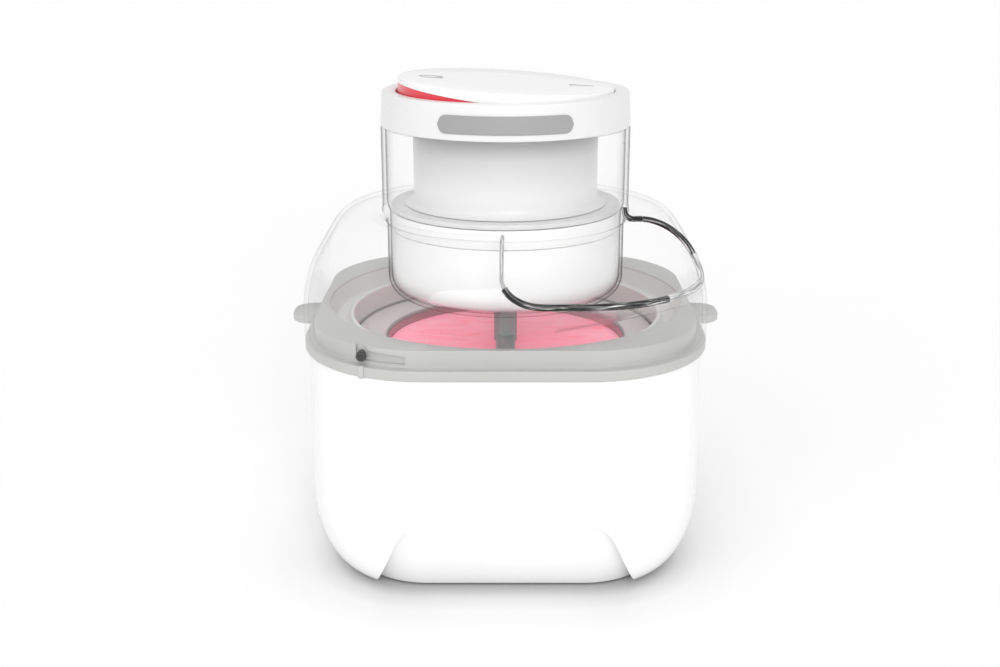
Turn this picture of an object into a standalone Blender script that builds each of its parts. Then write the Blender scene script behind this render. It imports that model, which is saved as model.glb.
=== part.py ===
"""Freezer-bowl ice cream maker with a clear lid and a motor head.

Metres, +Z up, front towards -Y, origin on the floor under the middle of the base.
Every visible object is one real piece; a hidden object is a cutter.
"""

import math

import bmesh
import bpy
from mathutils import Matrix, Vector

# ---------------------------------------------------------------- clearances
GAP = 0.0003  # between pieces that touch or are fastened together
SLIDE_GAP = 0.0005  # round a piece that lifts out by hand
RUN_GAP = 0.0001  # round a turning shaft
FLAT_GAP = 0.0010  # between outlines whose flats don't line up

# ---------------------------------------------------------------- driving dimensions
SIDES = 36  # points round each large outline that shows
HIDDEN_SIDES = 24  # points round a large outline inside the machine
FINE_SIDES = 20  # points round a small shaft, pin or foot
SCREW_SIDES = 10

# Base: outer housing
FOOT_HEIGHT = 0.0010  # shell's lower edge above the floor
BODY_HALF = 0.0910
BODY_TOP_HALF = BODY_HALF - 0.0007
BODY_CORNER_CENTRE = 0.0360  # the corner arcs keep this centre at every height
BODY_TOP = 0.1067
BODY_WALL = 0.0026
BODY_BULGE_Z = 0.0520  # height of the widest outline
BODY_FILLET_HIGH = 0.0400
BODY_FILLET_WIDE = 0.0200

# Finger recess under the front and the back edge
RECESS_TOP = 0.0410
RECESS_TOP_HALF = 0.0445
RECESS_FOOT_HALF = 0.0605
RECESS_CORNER = 0.0085
RECESS_DEPTH_TOP = 0.0048
RECESS_DEPTH_FOOT = 0.0044  # inside the shell's own lower edge

# Base plate, feet and screws
PLATE_THICK = 0.0025
PLATE_Z = 0.0020
FOOT_RADIUS = 0.0080
FOOT_AT = 0.0440
POST_RADIUS = 0.0045
POST_AT = 0.0530
POST_TOP = 0.0120
WEB_Z = 0.0080
WEB_THICK = 0.0022
SCREW_RADIUS = 0.0015
SCREW_HEAD = 0.0028

# Collar
COLLAR_HALF = BODY_HALF + 0.0015
COLLAR_CORNER = 0.0580
FLANGE_HIGH = 0.0045
PLATFORM_HALF = COLLAR_HALF - 0.0045
PLATFORM_TOP = BODY_TOP + 0.0126
MOUTH_RADIUS = 0.08465
LEDGE_RADIUS = 0.0821
LEDGE_Z = BODY_TOP + 0.0039
LIP_RADIUS = 0.0740
LIP_Z = BODY_TOP + 0.0065
LIP_WALL = 0.0020
WELL_BOTTOM = BODY_TOP - 0.0041
RIM_DEPTH = 0.0070  # locating rim that drops inside the housing
RIM_WALL = 0.0020
EAR_REACH = PLATFORM_HALF + 0.0153
EAR_LENGTH = 0.0230
EAR_BOTTOM = BODY_TOP + 0.0016
EAR_TOP = BODY_TOP + 0.0058

# Freezer bowl
SHELL_RADIUS = 0.0795
SHELL_WALL = 0.0018
SHELL_BOTTOM = 0.0140
SHELL_FILLET_WIDE = 0.0200
SHELL_FILLET_HIGH = 0.0300
CUP_RADIUS = 0.0570
CUP_WALL = 0.0015
CUP_FLOOR = 0.0240
CUP_FILLET = 0.0090
CUP_RIM_RADIUS = CUP_RADIUS + 0.0020
CUP_RIM_Z = BODY_TOP - 0.0051
CUP_FLANGE_Z = BODY_TOP - 0.0045
COOLANT_TOP = BODY_TOP - 0.0107

# Lid
LID_WALL = 0.0020
DOME_START = BODY_TOP + 0.0183
DOME_TOP = BODY_TOP + 0.0573
NECK_WALL = 0.0020
NECK_ROOT = BODY_TOP + 0.0545
NECK_TOP = BODY_TOP + 0.0962
POT_RADIUS = 0.0564  # the pot that the motor head drops into
POT_WALL = 0.0014
NECK_RADIUS = POT_RADIUS + 0.0020
DOME_TOP_RADIUS = NECK_RADIUS + 0.0076
POT_BOTTOM = BODY_TOP + 0.0157
POT_FILLET = 0.0090
POT_HOLE = 0.0080
FILL_START = -91.2  # degrees from +X; the fill opening runs from here
FILL_END = -21.5  # to here
FILL_RIM = BODY_TOP + 0.0311
FILL_CORNER_WIDE = 11.0  # degrees
FILL_CORNER_HIGH = 0.0120
CHUTE_BOTTOM = BODY_TOP + 0.0145
CHUTE_RADIUS = 0.0700
CHUTE_END = -24.0
CHUTE_SIDE_X = -0.0025
CHUTE_SIDE_THICK = 0.0020
STUD_RADIUS = 0.0023
STUD_ANGLE = 234.0
STUD_Z = BODY_TOP + 0.0088

# Motor head
BAND_RADIUS = NECK_RADIUS + 0.0001
BAND_TOP_RADIUS = BAND_RADIUS - 0.0010
BAND_BOTTOM = NECK_TOP + GAP
BAND_TOP = BAND_BOTTOM + 0.0159
BAND_FLOOR = 0.0022
BAND_OPENING = BAND_TOP_RADIUS - 0.0064
BAND_FLOOR_HOLE = BAND_OPENING - 0.0151
INLET_RADIUS = 0.0042
INLET_Z = BAND_BOTTOM + 0.0096
BELL_RADIUS = POT_RADIUS - POT_WALL - SLIDE_GAP
TOWER_RADIUS = BELL_RADIUS - 0.0110
TOWER_WALL = 0.0022
TOWER_FOOT_RADIUS = TOWER_RADIUS + 0.0040
DISC_RADIUS = BELL_RADIUS - 0.0001
DISC_TOP = BODY_TOP + 0.0595
DISC_THICK = 0.0023
DISC_HOLE = DISC_RADIUS - 0.0164
BELL_WALL = 0.0022
BELL_SEAM = BODY_TOP + 0.0479
BELL_BOTTOM = POT_BOTTOM + 0.0022
BELL_FILLET = 0.0090

# Gearbox
MODULE = 0.0008
ADDENDUM = 0.8
DEDENDUM = 1.1
PRESSURE_ANGLE = math.radians(20)
TOOTH_THINNING = 0.00006
PINION_TEETH = 14
WHEEL_TEETH = 40
GEAR_DISTANCE = MODULE * (PINION_TEETH + WHEEL_TEETH) / 2
LOWER_GEAR_Z = BELL_BOTTOM + 0.0059
LOWER_GEAR_TOP = LOWER_GEAR_Z + 0.0055
UPPER_GEAR_Z = LOWER_GEAR_TOP + 0.0016
UPPER_GEAR_TOP = UPPER_GEAR_Z + 0.0059
SHAFT_RADIUS = 0.0045
HEX_RADIUS = 0.0050
HEX_BOTTOM = BELL_BOTTOM - 0.0156
BUSH_RADIUS = 0.0062
PIN_RADIUS = 0.0015
GEAR_PLATE_Z = BELL_SEAM - 0.0043
GEAR_PLATE_THICK = 0.0020
GEAR_POST_AT = BELL_RADIUS - 0.0115
MOTOR_RADIUS = 0.0260
MOTOR_BOTTOM = GEAR_PLATE_Z + 0.0047
MOTOR_HIGH = 0.0330
MOTOR_EAR_AT = 0.0300

# Rocker
ROCKER_RADIUS = BAND_OPENING - 0.0007
ROCKER_TILT = math.radians(3.35)
ROCKER_TOP = BAND_TOP + 0.0038
ROCKER_PIVOT_Z = BAND_TOP - 0.0026
ROCKER_DEEP = 0.0088
ROCKER_LEFT_THICK = 0.0024
ROCKER_SLOPE = 0.0585
ROCKER_WALL = 0.0022
ROCKER_LUG_AT = 0.0330
SKIRT_END_X = 0.0150

# Paddle
HUB_RADIUS = 0.0090
HUB_TOP = BODY_TOP + 0.0149
HUB_BOTTOM = BODY_TOP - 0.0107
ARM_WIDTH = 0.0096
ARM_Z = BODY_TOP - 0.0095
ARM_THICK = 0.0032
BLADE_THICK = 0.0030
BLADE_WIDTH = 0.0090
PADDLE_CLEAR = 0.0016  # between the paddle and the bowl's wall and floor

# Badge
BADGE_HALF_ANGLE = 30.0
BADGE_LOW = BAND_BOTTOM + 0.0053
BADGE_HIGH = BADGE_LOW + 0.0055
BADGE_PROUD = 0.0008


# ---------------------------------------------------------------- scene and materials
def clear_scene():
    for obj in list(bpy.data.objects):
        bpy.data.objects.remove(obj, do_unlink=True)


def material(name, colour, roughness, metallic=0.0, alpha=1.0):
    found = bpy.data.materials.get(name)
    if found:
        return found
    made = bpy.data.materials.new(name)
    made.use_nodes = True
    shader = made.node_tree.nodes["Principled BSDF"]
    shader.inputs["Base Color"].default_value = (*colour, 1.0)
    shader.inputs["Roughness"].default_value = roughness
    shader.inputs["Metallic"].default_value = metallic
    shader.inputs["Alpha"].default_value = alpha
    made.diffuse_color = (*colour, alpha)
    return made


WHITE = ("white_plastic", (0.90, 0.90, 0.90), 0.25)
GREY = ("grey_plastic", (0.62, 0.62, 0.61), 0.38)
PALE_GREY = ("pale_grey_plastic", (0.68, 0.68, 0.68), 0.35)
DARK_GREY = ("dark_grey_plastic", (0.28, 0.28, 0.28), 0.45)
BLACK = ("black_plastic", (0.03, 0.03, 0.03), 0.40)
RED = ("red_plastic", (0.75, 0.05, 0.08), 0.30)
CLEAR = ("clear_plastic", (0.95, 0.96, 0.96), 0.05, 0.0, 0.25)
RUBBER = ("foot_rubber", (0.12, 0.12, 0.12), 0.80)
ALUMINIUM = ("cup_aluminium", (0.72, 0.72, 0.73), 0.32, 1.0)
STEEL = ("plain_steel", (0.55, 0.55, 0.56), 0.35, 1.0)
BRASS = ("bush_bronze", (0.60, 0.42, 0.20), 0.40, 1.0)
GEL = ("coolant_gel", (0.35, 0.55, 0.75), 0.60)
NYLON = ("gear_nylon", (0.85, 0.84, 0.78), 0.50)
BOARD = ("board_green", (0.05, 0.25, 0.10), 0.50)


# ---------------------------------------------------------------- mesh tools
def add_object(name, mesh_builder, finish):
    """Makes the object that the bmesh holds, with its faces out and its round faces smooth."""
    bmesh.ops.recalc_face_normals(mesh_builder, faces=mesh_builder.faces)
    mesh = bpy.data.meshes.new(name)
    mesh_builder.to_mesh(mesh)
    mesh_builder.free()
    mesh.materials.append(material(*finish))
    mesh.shade_smooth()
    mesh.set_sharp_from_angle(angle=math.radians(35))
    obj = bpy.data.objects.new(name, mesh)
    bpy.context.scene.collection.objects.link(obj)
    return obj


def hide_helper(obj):
    obj.hide_render = True
    obj.display_type = "WIRE"
    return obj


def combine(obj, other, operation):
    """Cuts obj by, or joins it with, another object, which becomes a helper."""
    modifier = obj.modifiers.new(operation.lower() + "_" + other.name, "BOOLEAN")
    modifier.operation = operation
    modifier.solver = "EXACT"
    modifier.object = hide_helper(other)
    return obj


def cut(obj, *others):
    for other in others:
        combine(obj, other, "DIFFERENCE")
    return obj


def join(obj, *others):
    for other in others:
        combine(obj, other, "UNION")
    return obj


def outline_distance(half, corner, angle):
    """Distance from the centre to a rounded square's outline; corner equal to half is a circle."""
    across = abs(math.cos(angle))
    along = abs(math.sin(angle))
    long_side = max(across, along)
    short_side = min(across, along)
    centre = half - corner
    if short_side / long_side * half <= centre:
        return half / long_side
    reach = centre * (across + along)
    return reach + math.sqrt(reach * reach - 2 * centre * centre + corner * corner)


def outline(half, corner, count=SIDES):
    points = []
    for step in range(count):
        angle = 2 * math.pi * (step + 0.5) / count
        distance = outline_distance(half, corner, angle)
        points.append((distance * math.cos(angle), distance * math.sin(angle)))
    return points


def loft(name, sections, finish, count=SIDES):
    """A body through the outlines (half, corner, z) in turn.

    A first and a last section of half 0 close it with flat ends; without them it closes into a ring.
    """
    mesh = bmesh.new()
    capped = sections[0][0] == 0
    rings = []
    for half, corner, z in sections[1:-1] if capped else sections:
        rings.append([mesh.verts.new((x, y, z)) for x, y in outline(half, corner, count)])
    pairs = list(zip(rings, rings[1:]))
    if capped:
        mesh.faces.new(rings[0])
        mesh.faces.new(rings[-1])
    else:
        pairs.append((rings[-1], rings[0]))
    for lower, upper in pairs:
        for step in range(count):
            after = (step + 1) % count
            mesh.faces.new((lower[step], lower[after], upper[after], upper[step]))
    return add_object(name, mesh, finish)


def turned(name, profile, finish, count=SIDES):
    """A round body from a profile of (radius, z) points."""
    return loft(name, [(radius, radius, z) for radius, z in profile], finish, count)


def moved(obj, x=0.0, y=0.0, z=0.0):
    obj.location = (x, y, z)
    return obj


def prism(name, points, low, high, finish):
    """The outline of (x, y) points, raised from low to high."""
    mesh = bmesh.new()
    bottom = [mesh.verts.new((x, y, low)) for x, y in points]
    top = [mesh.verts.new((x, y, high)) for x, y in points]
    mesh.faces.new(bottom)
    mesh.faces.new(top)
    for step in range(len(points)):
        after = (step + 1) % len(points)
        mesh.faces.new((bottom[step], bottom[after], top[after], top[step]))
    return add_object(name, mesh, finish)


def rod(name, radius, low, high, finish, count=FINE_SIDES, x=0.0, y=0.0):
    """An upright cylinder."""
    profile = [(0, low), (radius, low), (radius, high), (0, high)]
    return moved(turned(name, profile, finish, count), x, y)


def box(name, low, high, finish, bevel=0.0, steps=2):
    """A block between two corners, with its edges rounded when bevel is set."""
    mesh = bmesh.new()
    size = Vector(high) - Vector(low)
    middle = (Vector(high) + Vector(low)) / 2
    place = Matrix.Translation(middle) @ Matrix.Diagonal((*size, 1))
    bmesh.ops.create_cube(mesh, size=1, matrix=place)
    if bevel:
        bmesh.ops.bevel(mesh, geom=mesh.edges, offset=bevel, segments=steps, affect="EDGES", profile=0.5)
    return add_object(name, mesh, finish)


def arc(centre_r, centre_z, wide, high, start, end, steps):
    """Points of an ellipse arc in a profile; angles in degrees from +R."""
    points = []
    for step in range(steps + 1):
        angle = math.radians(start + (end - start) * step / steps)
        points.append((centre_r + wide * math.cos(angle), centre_z + high * math.sin(angle)))
    return points


# ---------------------------------------------------------------- base
def body_section(half, inset, z):
    """The housing's outline at one height, moved in by the inset."""
    return (half - inset, half - inset - BODY_CORNER_CENTRE, z)


def body_half_at(z):
    """The housing's outer half width at a height."""
    if z >= BODY_BULGE_Z:
        share = (z - BODY_BULGE_Z) / (BODY_TOP - BODY_BULGE_Z)
        return BODY_HALF + (BODY_TOP_HALF - BODY_HALF) * share
    if z >= BODY_FILLET_HIGH:
        return BODY_HALF
    down = (BODY_FILLET_HIGH - z) / BODY_FILLET_HIGH
    return BODY_HALF - BODY_FILLET_WIDE * (1 - math.sqrt(1 - down * down))


def recess_outline(grow):
    """The recess seen from the front: flat top, round corners, sides that spread to the feet."""
    lean = (RECESS_FOOT_HALF - RECESS_TOP_HALF) / RECESS_TOP
    top = RECESS_TOP + grow
    corner = RECESS_TOP_HALF + grow
    low = -0.012
    right = [(corner + lean * (top - low), low), (corner + lean * RECESS_CORNER, top - RECESS_CORNER)]
    right += [(corner - RECESS_CORNER * 0.22, top - RECESS_CORNER * 0.34), (corner - RECESS_CORNER, top)]
    left = [(-x, z) for x, z in reversed(right)]
    return right + left


def recess_prism(name, grow, side):
    """A block through the front (-1) or back (+1) wall with the recess outline."""
    mesh = bmesh.new()
    near = [mesh.verts.new((x, side * 0.05, z)) for x, z in recess_outline(grow)]
    far = [mesh.verts.new((x, side * 0.15, z)) for x, z in recess_outline(grow)]
    mesh.faces.new(near)
    mesh.faces.new(far)
    for step in range(len(near)):
        after = (step + 1) % len(near)
        mesh.faces.new((near[step], near[after], far[after], far[step]))
    return add_object(name, mesh, WHITE)


def body_solid(name, inset, high):
    """The whole body with both recesses, every surface moved in by the inset.

    It runs on below its lower edge, where the housing is trimmed last.
    """
    low = -0.006
    heights = [low, 0.006, 0.014, 0.025, BODY_FILLET_HIGH, BODY_BULGE_Z, BODY_TOP, high]
    sections = []
    for z in heights:
        level = min(max(z, FOOT_HEIGHT), BODY_TOP)
        sections.append(body_section(body_half_at(level), inset, z))
    if high <= BODY_TOP:
        sections.pop()
    solid = loft(name, [(0, 0, low), *sections, (0, 0, sections[-1][2])], WHITE)
    foot_half = body_half_at(FOOT_HEIGHT) - RECESS_DEPTH_FOOT
    face_top = body_half_at(RECESS_TOP) - RECESS_DEPTH_TOP
    core = [(face_top, RECESS_TOP + 0.004), (face_top, RECESS_TOP), (foot_half, FOOT_HEIGHT), (foot_half, low + 0.001)]
    core_sections = [body_section(half, inset, z) for half, z in core]
    core_solid = loft(name + "_core", [(0, 0, 0), *core_sections, (0, 0, 0)], WHITE)
    cut(solid, recess_prism(name + "_front", inset, -1), recess_prism(name + "_back", inset, 1))
    return join(solid, core_solid)


def corners(distance):
    names = ("front_left", "front_right", "back_left", "back_right")
    signs = ((-1, -1), (1, -1), (-1, 1), (1, 1))
    return [(name, sx * distance, sy * distance) for name, (sx, sy) in zip(names, signs)]


def make_housing():
    housing = body_solid("outer_housing", 0.0, BODY_TOP)
    cut(housing, body_solid("housing_cavity", BODY_WALL, BODY_TOP + 0.003))
    cut(housing, box("housing_trim", (-0.1, -0.1, -0.02), (0.1, 0.1, FOOT_HEIGHT), WHITE))
    post_low = PLATE_Z + PLATE_THICK + GAP
    for name, x, y in corners(POST_AT):
        post = rod("post_" + name, POST_RADIUS, post_low, POST_TOP, WHITE, 12, x, y)
        wall_half = body_half_at(WEB_Z + WEB_THICK / 2) - BODY_WALL / 2
        wall_corner = wall_half - BODY_CORNER_CENTRE
        reach = outline_distance(wall_half, wall_corner, math.radians(45)) - POST_AT * math.sqrt(2)
        web = box("web_" + name, (0, -0.0015, WEB_Z), (reach, 0.0015, WEB_Z + WEB_THICK), WHITE)
        web.location = (x, y, 0)
        web.rotation_euler.z = math.atan2(y, x)
        join(housing, web, post)
    for name, x, y in corners(POST_AT):
        pilot = SCREW_RADIUS + RUN_GAP
        cut(housing, rod("pilot_" + name, pilot, post_low - 0.001, POST_TOP - 0.0010, WHITE, SCREW_SIDES, x, y))
    return housing


def make_base_plate():
    top = PLATE_Z + PLATE_THICK
    plate = body_solid("base_plate", BODY_WALL + GAP, BODY_TOP)
    combine(plate, box("plate_slab", (-0.1, -0.1, PLATE_Z), (0.1, 0.1, top), WHITE), "INTERSECT")
    for name, x, y in corners(POST_AT):
        hole = SCREW_RADIUS + RUN_GAP
        cut(plate, rod("plate_hole_" + name, hole, PLATE_Z - 0.001, top + 0.001, WHITE, SCREW_SIDES, x, y))
    return plate


def make_feet():
    high = PLATE_Z - GAP
    profile = [(0, 0), (FOOT_RADIUS, 0), (FOOT_RADIUS, high), (0, high)]
    for name, x, y in corners(FOOT_AT):
        moved(turned("foot_" + name, profile, RUBBER, FINE_SIDES), x, y)


def screw(name, x, y, seat, head_high, length, points_up):
    """A pan-head screw whose head bears on the plane at seat."""
    way = 1 if points_up else -1
    profile = [
        (0, -way * head_high),
        (SCREW_HEAD * 0.75, -way * head_high),
        (SCREW_HEAD, -way * head_high * 0.45),
        (SCREW_HEAD, 0),
        (SCREW_RADIUS, 0),
        (SCREW_RADIUS, way * (length - SCREW_RADIUS)),
        (0, way * length),
    ]
    return moved(turned(name, profile, STEEL, SCREW_SIDES), x, y, seat)


def make_base_screws():
    for name, x, y in corners(POST_AT):
        length = POST_TOP - 0.0022 - PLATE_Z
        screw("base_screw_" + name, x, y, PLATE_Z - RUN_GAP, 0.0014, length, True)


# ---------------------------------------------------------------- freezer bowl
def stud_place():
    """Where the latch stud's axis meets the skirt, and its direction."""
    angle = math.radians(STUD_ANGLE)
    distance = outline_distance(COLLAR_HALF, COLLAR_CORNER, angle)
    centre = COLLAR_HALF - COLLAR_CORNER
    x = distance * math.cos(angle)
    y = distance * math.sin(angle)
    facing = math.atan2(y + centre, x + centre)
    return x, y, facing


def make_collar():
    flange_top = BODY_TOP + GAP + FLANGE_HIGH
    flange_low = BODY_TOP + GAP
    rim_half = BODY_TOP_HALF - BODY_WALL - SLIDE_GAP
    rim_corner = rim_half - BODY_CORNER_CENTRE
    rim_in = rim_half - RIM_WALL
    edge = 0.0006
    platform_corner = COLLAR_CORNER - (COLLAR_HALF - PLATFORM_HALF)
    sections = [
        (PLATFORM_HALF - edge, platform_corner - edge, PLATFORM_TOP),
        (PLATFORM_HALF, platform_corner, PLATFORM_TOP - edge),
        (PLATFORM_HALF, platform_corner, flange_top),
        (COLLAR_HALF - edge, COLLAR_CORNER - edge, flange_top),
        (COLLAR_HALF, COLLAR_CORNER, flange_top - edge),
        (COLLAR_HALF, COLLAR_CORNER, flange_low + edge),
        (COLLAR_HALF - edge, COLLAR_CORNER - edge, flange_low),
        (rim_half, rim_corner, flange_low),
        (rim_half, rim_corner, flange_low - RIM_DEPTH),
        (rim_in, rim_corner - RIM_WALL, flange_low - RIM_DEPTH),
        (rim_in, rim_corner - RIM_WALL, flange_low + 0.0006),
        (LEDGE_RADIUS - 0.0005, LEDGE_RADIUS - 0.0005, LEDGE_Z - 0.0028),
        (LIP_RADIUS + LIP_WALL, LIP_RADIUS + LIP_WALL, LEDGE_Z - 0.0028),
        (LIP_RADIUS + LIP_WALL - 0.0006, LIP_RADIUS + LIP_WALL - 0.0006, WELL_BOTTOM),
        (LIP_RADIUS - 0.0008, LIP_RADIUS - 0.0008, WELL_BOTTOM),
        (LIP_RADIUS - 0.0004, LIP_RADIUS - 0.0004, LIP_Z - 0.0008),
        (LIP_RADIUS + 0.0010, LIP_RADIUS + 0.0010, LIP_Z),
        (LIP_RADIUS + 0.0040, LIP_RADIUS + 0.0040, LEDGE_Z),
        (LEDGE_RADIUS, LEDGE_RADIUS, LEDGE_Z),
        (MOUTH_RADIUS, MOUTH_RADIUS, PLATFORM_TOP),
    ]
    collar = loft("bowl_collar", sections, GREY)
    for name, side in (("left", -1), ("right", 1)):
        inner = PLATFORM_HALF - 0.0010
        low = (min(side * inner, side * EAR_REACH), -EAR_LENGTH / 2, EAR_BOTTOM)
        high = (max(side * inner, side * EAR_REACH), EAR_LENGTH / 2, EAR_TOP)
        join(collar, box("ear_" + name, low, high, GREY, bevel=0.0016, steps=2))
    x, y, facing = stud_place()
    for name, sign in (("front", 1), ("back", -1)):
        half = STUD_RADIUS + SLIDE_GAP
        slot = box(
            "stud_slot_" + name,
            (-0.0050 - (COLLAR_HALF - PLATFORM_HALF), -half, STUD_Z - half),
            (0.01 - (COLLAR_HALF - PLATFORM_HALF), half, PLATFORM_TOP + 0.002),
            GREY,
        )
        slot.location = (sign * x, sign * y, 0)
        slot.rotation_euler.z = facing + (0 if sign > 0 else math.pi)
        cut(collar, slot)
    return collar


def shell_curve(offset, start, end):
    """The freezer bowl shell's rounded lower edge, moved in by the offset."""
    centre = (SHELL_RADIUS - SHELL_FILLET_WIDE, SHELL_BOTTOM + SHELL_FILLET_HIGH)
    return arc(*centre, SHELL_FILLET_WIDE - offset, SHELL_FILLET_HIGH - offset, start, end, 4)


def make_bowl_shell():
    top = LEDGE_Z - 0.0028 - GAP
    profile = [(0, SHELL_BOTTOM), *shell_curve(0, -90, 0), (SHELL_RADIUS, top), (SHELL_RADIUS - SHELL_WALL, top)]
    profile += [*shell_curve(SHELL_WALL, 0, -90), (0, SHELL_BOTTOM + SHELL_WALL)]
    return turned("bowl_outer_shell", profile, PALE_GREY, HIDDEN_SIDES)


def cup_profile(offset, top):
    """The aluminium cup's inner surface moved outwards by the offset, from the axis up to the top."""
    fillet = CUP_FILLET + offset
    centre = (CUP_RADIUS - CUP_FILLET, CUP_FLOOR + CUP_FILLET)
    curve = arc(*centre, fillet, fillet, -90, 0, 3)
    return [(0, CUP_FLOOR - offset), *curve, (CUP_RADIUS + offset, top)]


def make_inner_cup():
    flange_edge = LIP_RADIUS - 0.0012
    outside = cup_profile(CUP_WALL, CUP_RIM_Z - 0.0040)
    flange = [
        (CUP_RIM_RADIUS + 0.0016, CUP_RIM_Z - CUP_WALL),
        (flange_edge, CUP_FLANGE_Z - CUP_WALL),
        (flange_edge, CUP_FLANGE_Z),
        (CUP_RIM_RADIUS + 0.0016, CUP_RIM_Z + 0.0001),
        (CUP_RIM_RADIUS - 0.0008, CUP_RIM_Z - 0.0008),
        (CUP_RADIUS + 0.0002, CUP_RIM_Z - 0.0030),
    ]
    inside = list(reversed(cup_profile(0.0, CUP_RIM_Z - 0.0060)))
    return turned("bowl_inner_cup", outside + flange + inside, ALUMINIUM)


def make_coolant():
    offset = SHELL_WALL + GAP
    outside = shell_curve(offset, -90, 0)
    inside = list(reversed(cup_profile(CUP_WALL + FLAT_GAP, COOLANT_TOP)))
    profile = [(0, SHELL_BOTTOM + offset), *outside, (SHELL_RADIUS - offset, COOLANT_TOP), *inside]
    return turned("coolant_fill", profile, GEL, HIDDEN_SIDES)


def make_bowl_seal():
    inner = LIP_RADIUS - 0.0012 + FLAT_GAP
    outer = SHELL_RADIUS - SHELL_WALL - GAP
    high = WELL_BOTTOM - GAP
    low = high - 0.0020
    profile = [(outer, high), (outer, low), (inner, low), (inner, high)]
    return turned("bowl_seal", profile, RUBBER, HIDDEN_SIDES)


# ---------------------------------------------------------------- lid
def dome_sections(offset, steps):
    """The dome from the skirt to its crown, moved in by the offset."""
    sections = []
    wide = COLLAR_HALF - DOME_TOP_RADIUS
    high = DOME_TOP - DOME_START
    for step in range(steps + 1):
        angle = math.pi / 2 * step / steps
        half = DOME_TOP_RADIUS + (wide - offset) * math.cos(angle)
        z = DOME_START + (high - offset) * math.sin(angle)
        share = step / steps
        centre = (COLLAR_HALF - COLLAR_CORNER) * (1 - share * share)
        sections.append((half, half - centre, z))
    return sections


def fill_cutter():
    """A sector block that takes the dome away above the fill opening's rim."""
    low = FILL_RIM
    high = DOME_TOP + 0.006
    edge = []
    for step in range(6):
        turn = math.pi / 2 * step / 5
        angle = FILL_START + FILL_CORNER_WIDE * (1 - math.cos(turn))
        edge.append((angle, low + FILL_CORNER_HIGH * (1 - math.sin(turn))))
    angles = [FILL_START + FILL_CORNER_WIDE + 8 * step for step in range(1, 9)]
    edge += [(angle, low) for angle in angles if angle < FILL_END - 9]
    for step in range(5):
        turn = math.pi / 2 * step / 4
        edge.append((FILL_END - 7 * (1 - math.sin(turn)), low + 0.009 * (1 - math.cos(turn))))
    mesh = bmesh.new()
    inner = NECK_RADIUS + GAP
    columns = []
    for angle, z in edge:
        turn = math.radians(angle)
        column = []
        for radius, level in ((inner, z), (0.14, z), (0.14, high), (inner, high)):
            column.append(mesh.verts.new((radius * math.cos(turn), radius * math.sin(turn), level)))
        columns.append(column)
    for before, after in zip(columns, columns[1:]):
        for side in range(4):
            other = (side + 1) % 4
            mesh.faces.new((before[side], before[other], after[other], after[side]))
    mesh.faces.new(columns[0])
    mesh.faces.new(columns[-1])
    bmesh.ops.triangulate(mesh, faces=mesh.faces)
    return add_object("fill_cutter", mesh, CLEAR)


def chute_wall():
    """The sloping clear wall under the fill opening, which leads down into the bowl."""
    mesh = bmesh.new()
    steps = 10
    columns = []
    for step in range(steps + 1):
        angle = math.radians(FILL_START + 0.3 + (CHUTE_END - FILL_START - 0.3) * step / steps)
        top_half = COLLAR_HALF - LID_WALL
        top_distance = outline_distance(top_half, COLLAR_CORNER - LID_WALL, angle)
        column = []
        profile = (
            (top_distance + 0.0006, FILL_RIM - 0.0030),
            (CHUTE_RADIUS + 0.0016, CHUTE_BOTTOM),
            (CHUTE_RADIUS, CHUTE_BOTTOM),
            (top_distance - 0.0018, FILL_RIM - 0.0012),
            (top_distance + 0.0006, FILL_RIM - 0.0012),
        )
        for radius, z in profile:
            column.append(mesh.verts.new((radius * math.cos(angle), radius * math.sin(angle), z)))
        columns.append(column)
    for before, after in zip(columns, columns[1:]):
        for side in range(5):
            other = (side + 1) % 5
            mesh.faces.new((before[side], before[other], after[other], after[side]))
    mesh.faces.new(columns[0])
    mesh.faces.new(columns[-1])
    return add_object("chute_wall", mesh, CLEAR)


def chute_side():
    """The flat clear wall at the chute's left, from the pot out to the dome and up to its crown."""
    points = [(-half, z) for half, _, z in dome_sections(LID_WALL / 2, 6)]
    points += [(-POT_RADIUS - 0.0036, DOME_TOP - 0.0030), (-POT_RADIUS + POT_WALL / 2, DOME_TOP - 0.0070)]
    points += [(-POT_RADIUS + POT_WALL / 2, CHUTE_BOTTOM), (-COLLAR_HALF + LID_WALL / 2, CHUTE_BOTTOM)]
    mesh = bmesh.new()
    near = [mesh.verts.new((CHUTE_SIDE_X, y, z)) for y, z in points]
    far = [mesh.verts.new((CHUTE_SIDE_X + CHUTE_SIDE_THICK, y, z)) for y, z in points]
    mesh.faces.new(near)
    mesh.faces.new(far)
    for step in range(len(points)):
        other = (step + 1) % len(points)
        mesh.faces.new((near[step], near[other], far[other], far[step]))
    return add_object("chute_side", mesh, CLEAR)


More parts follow.
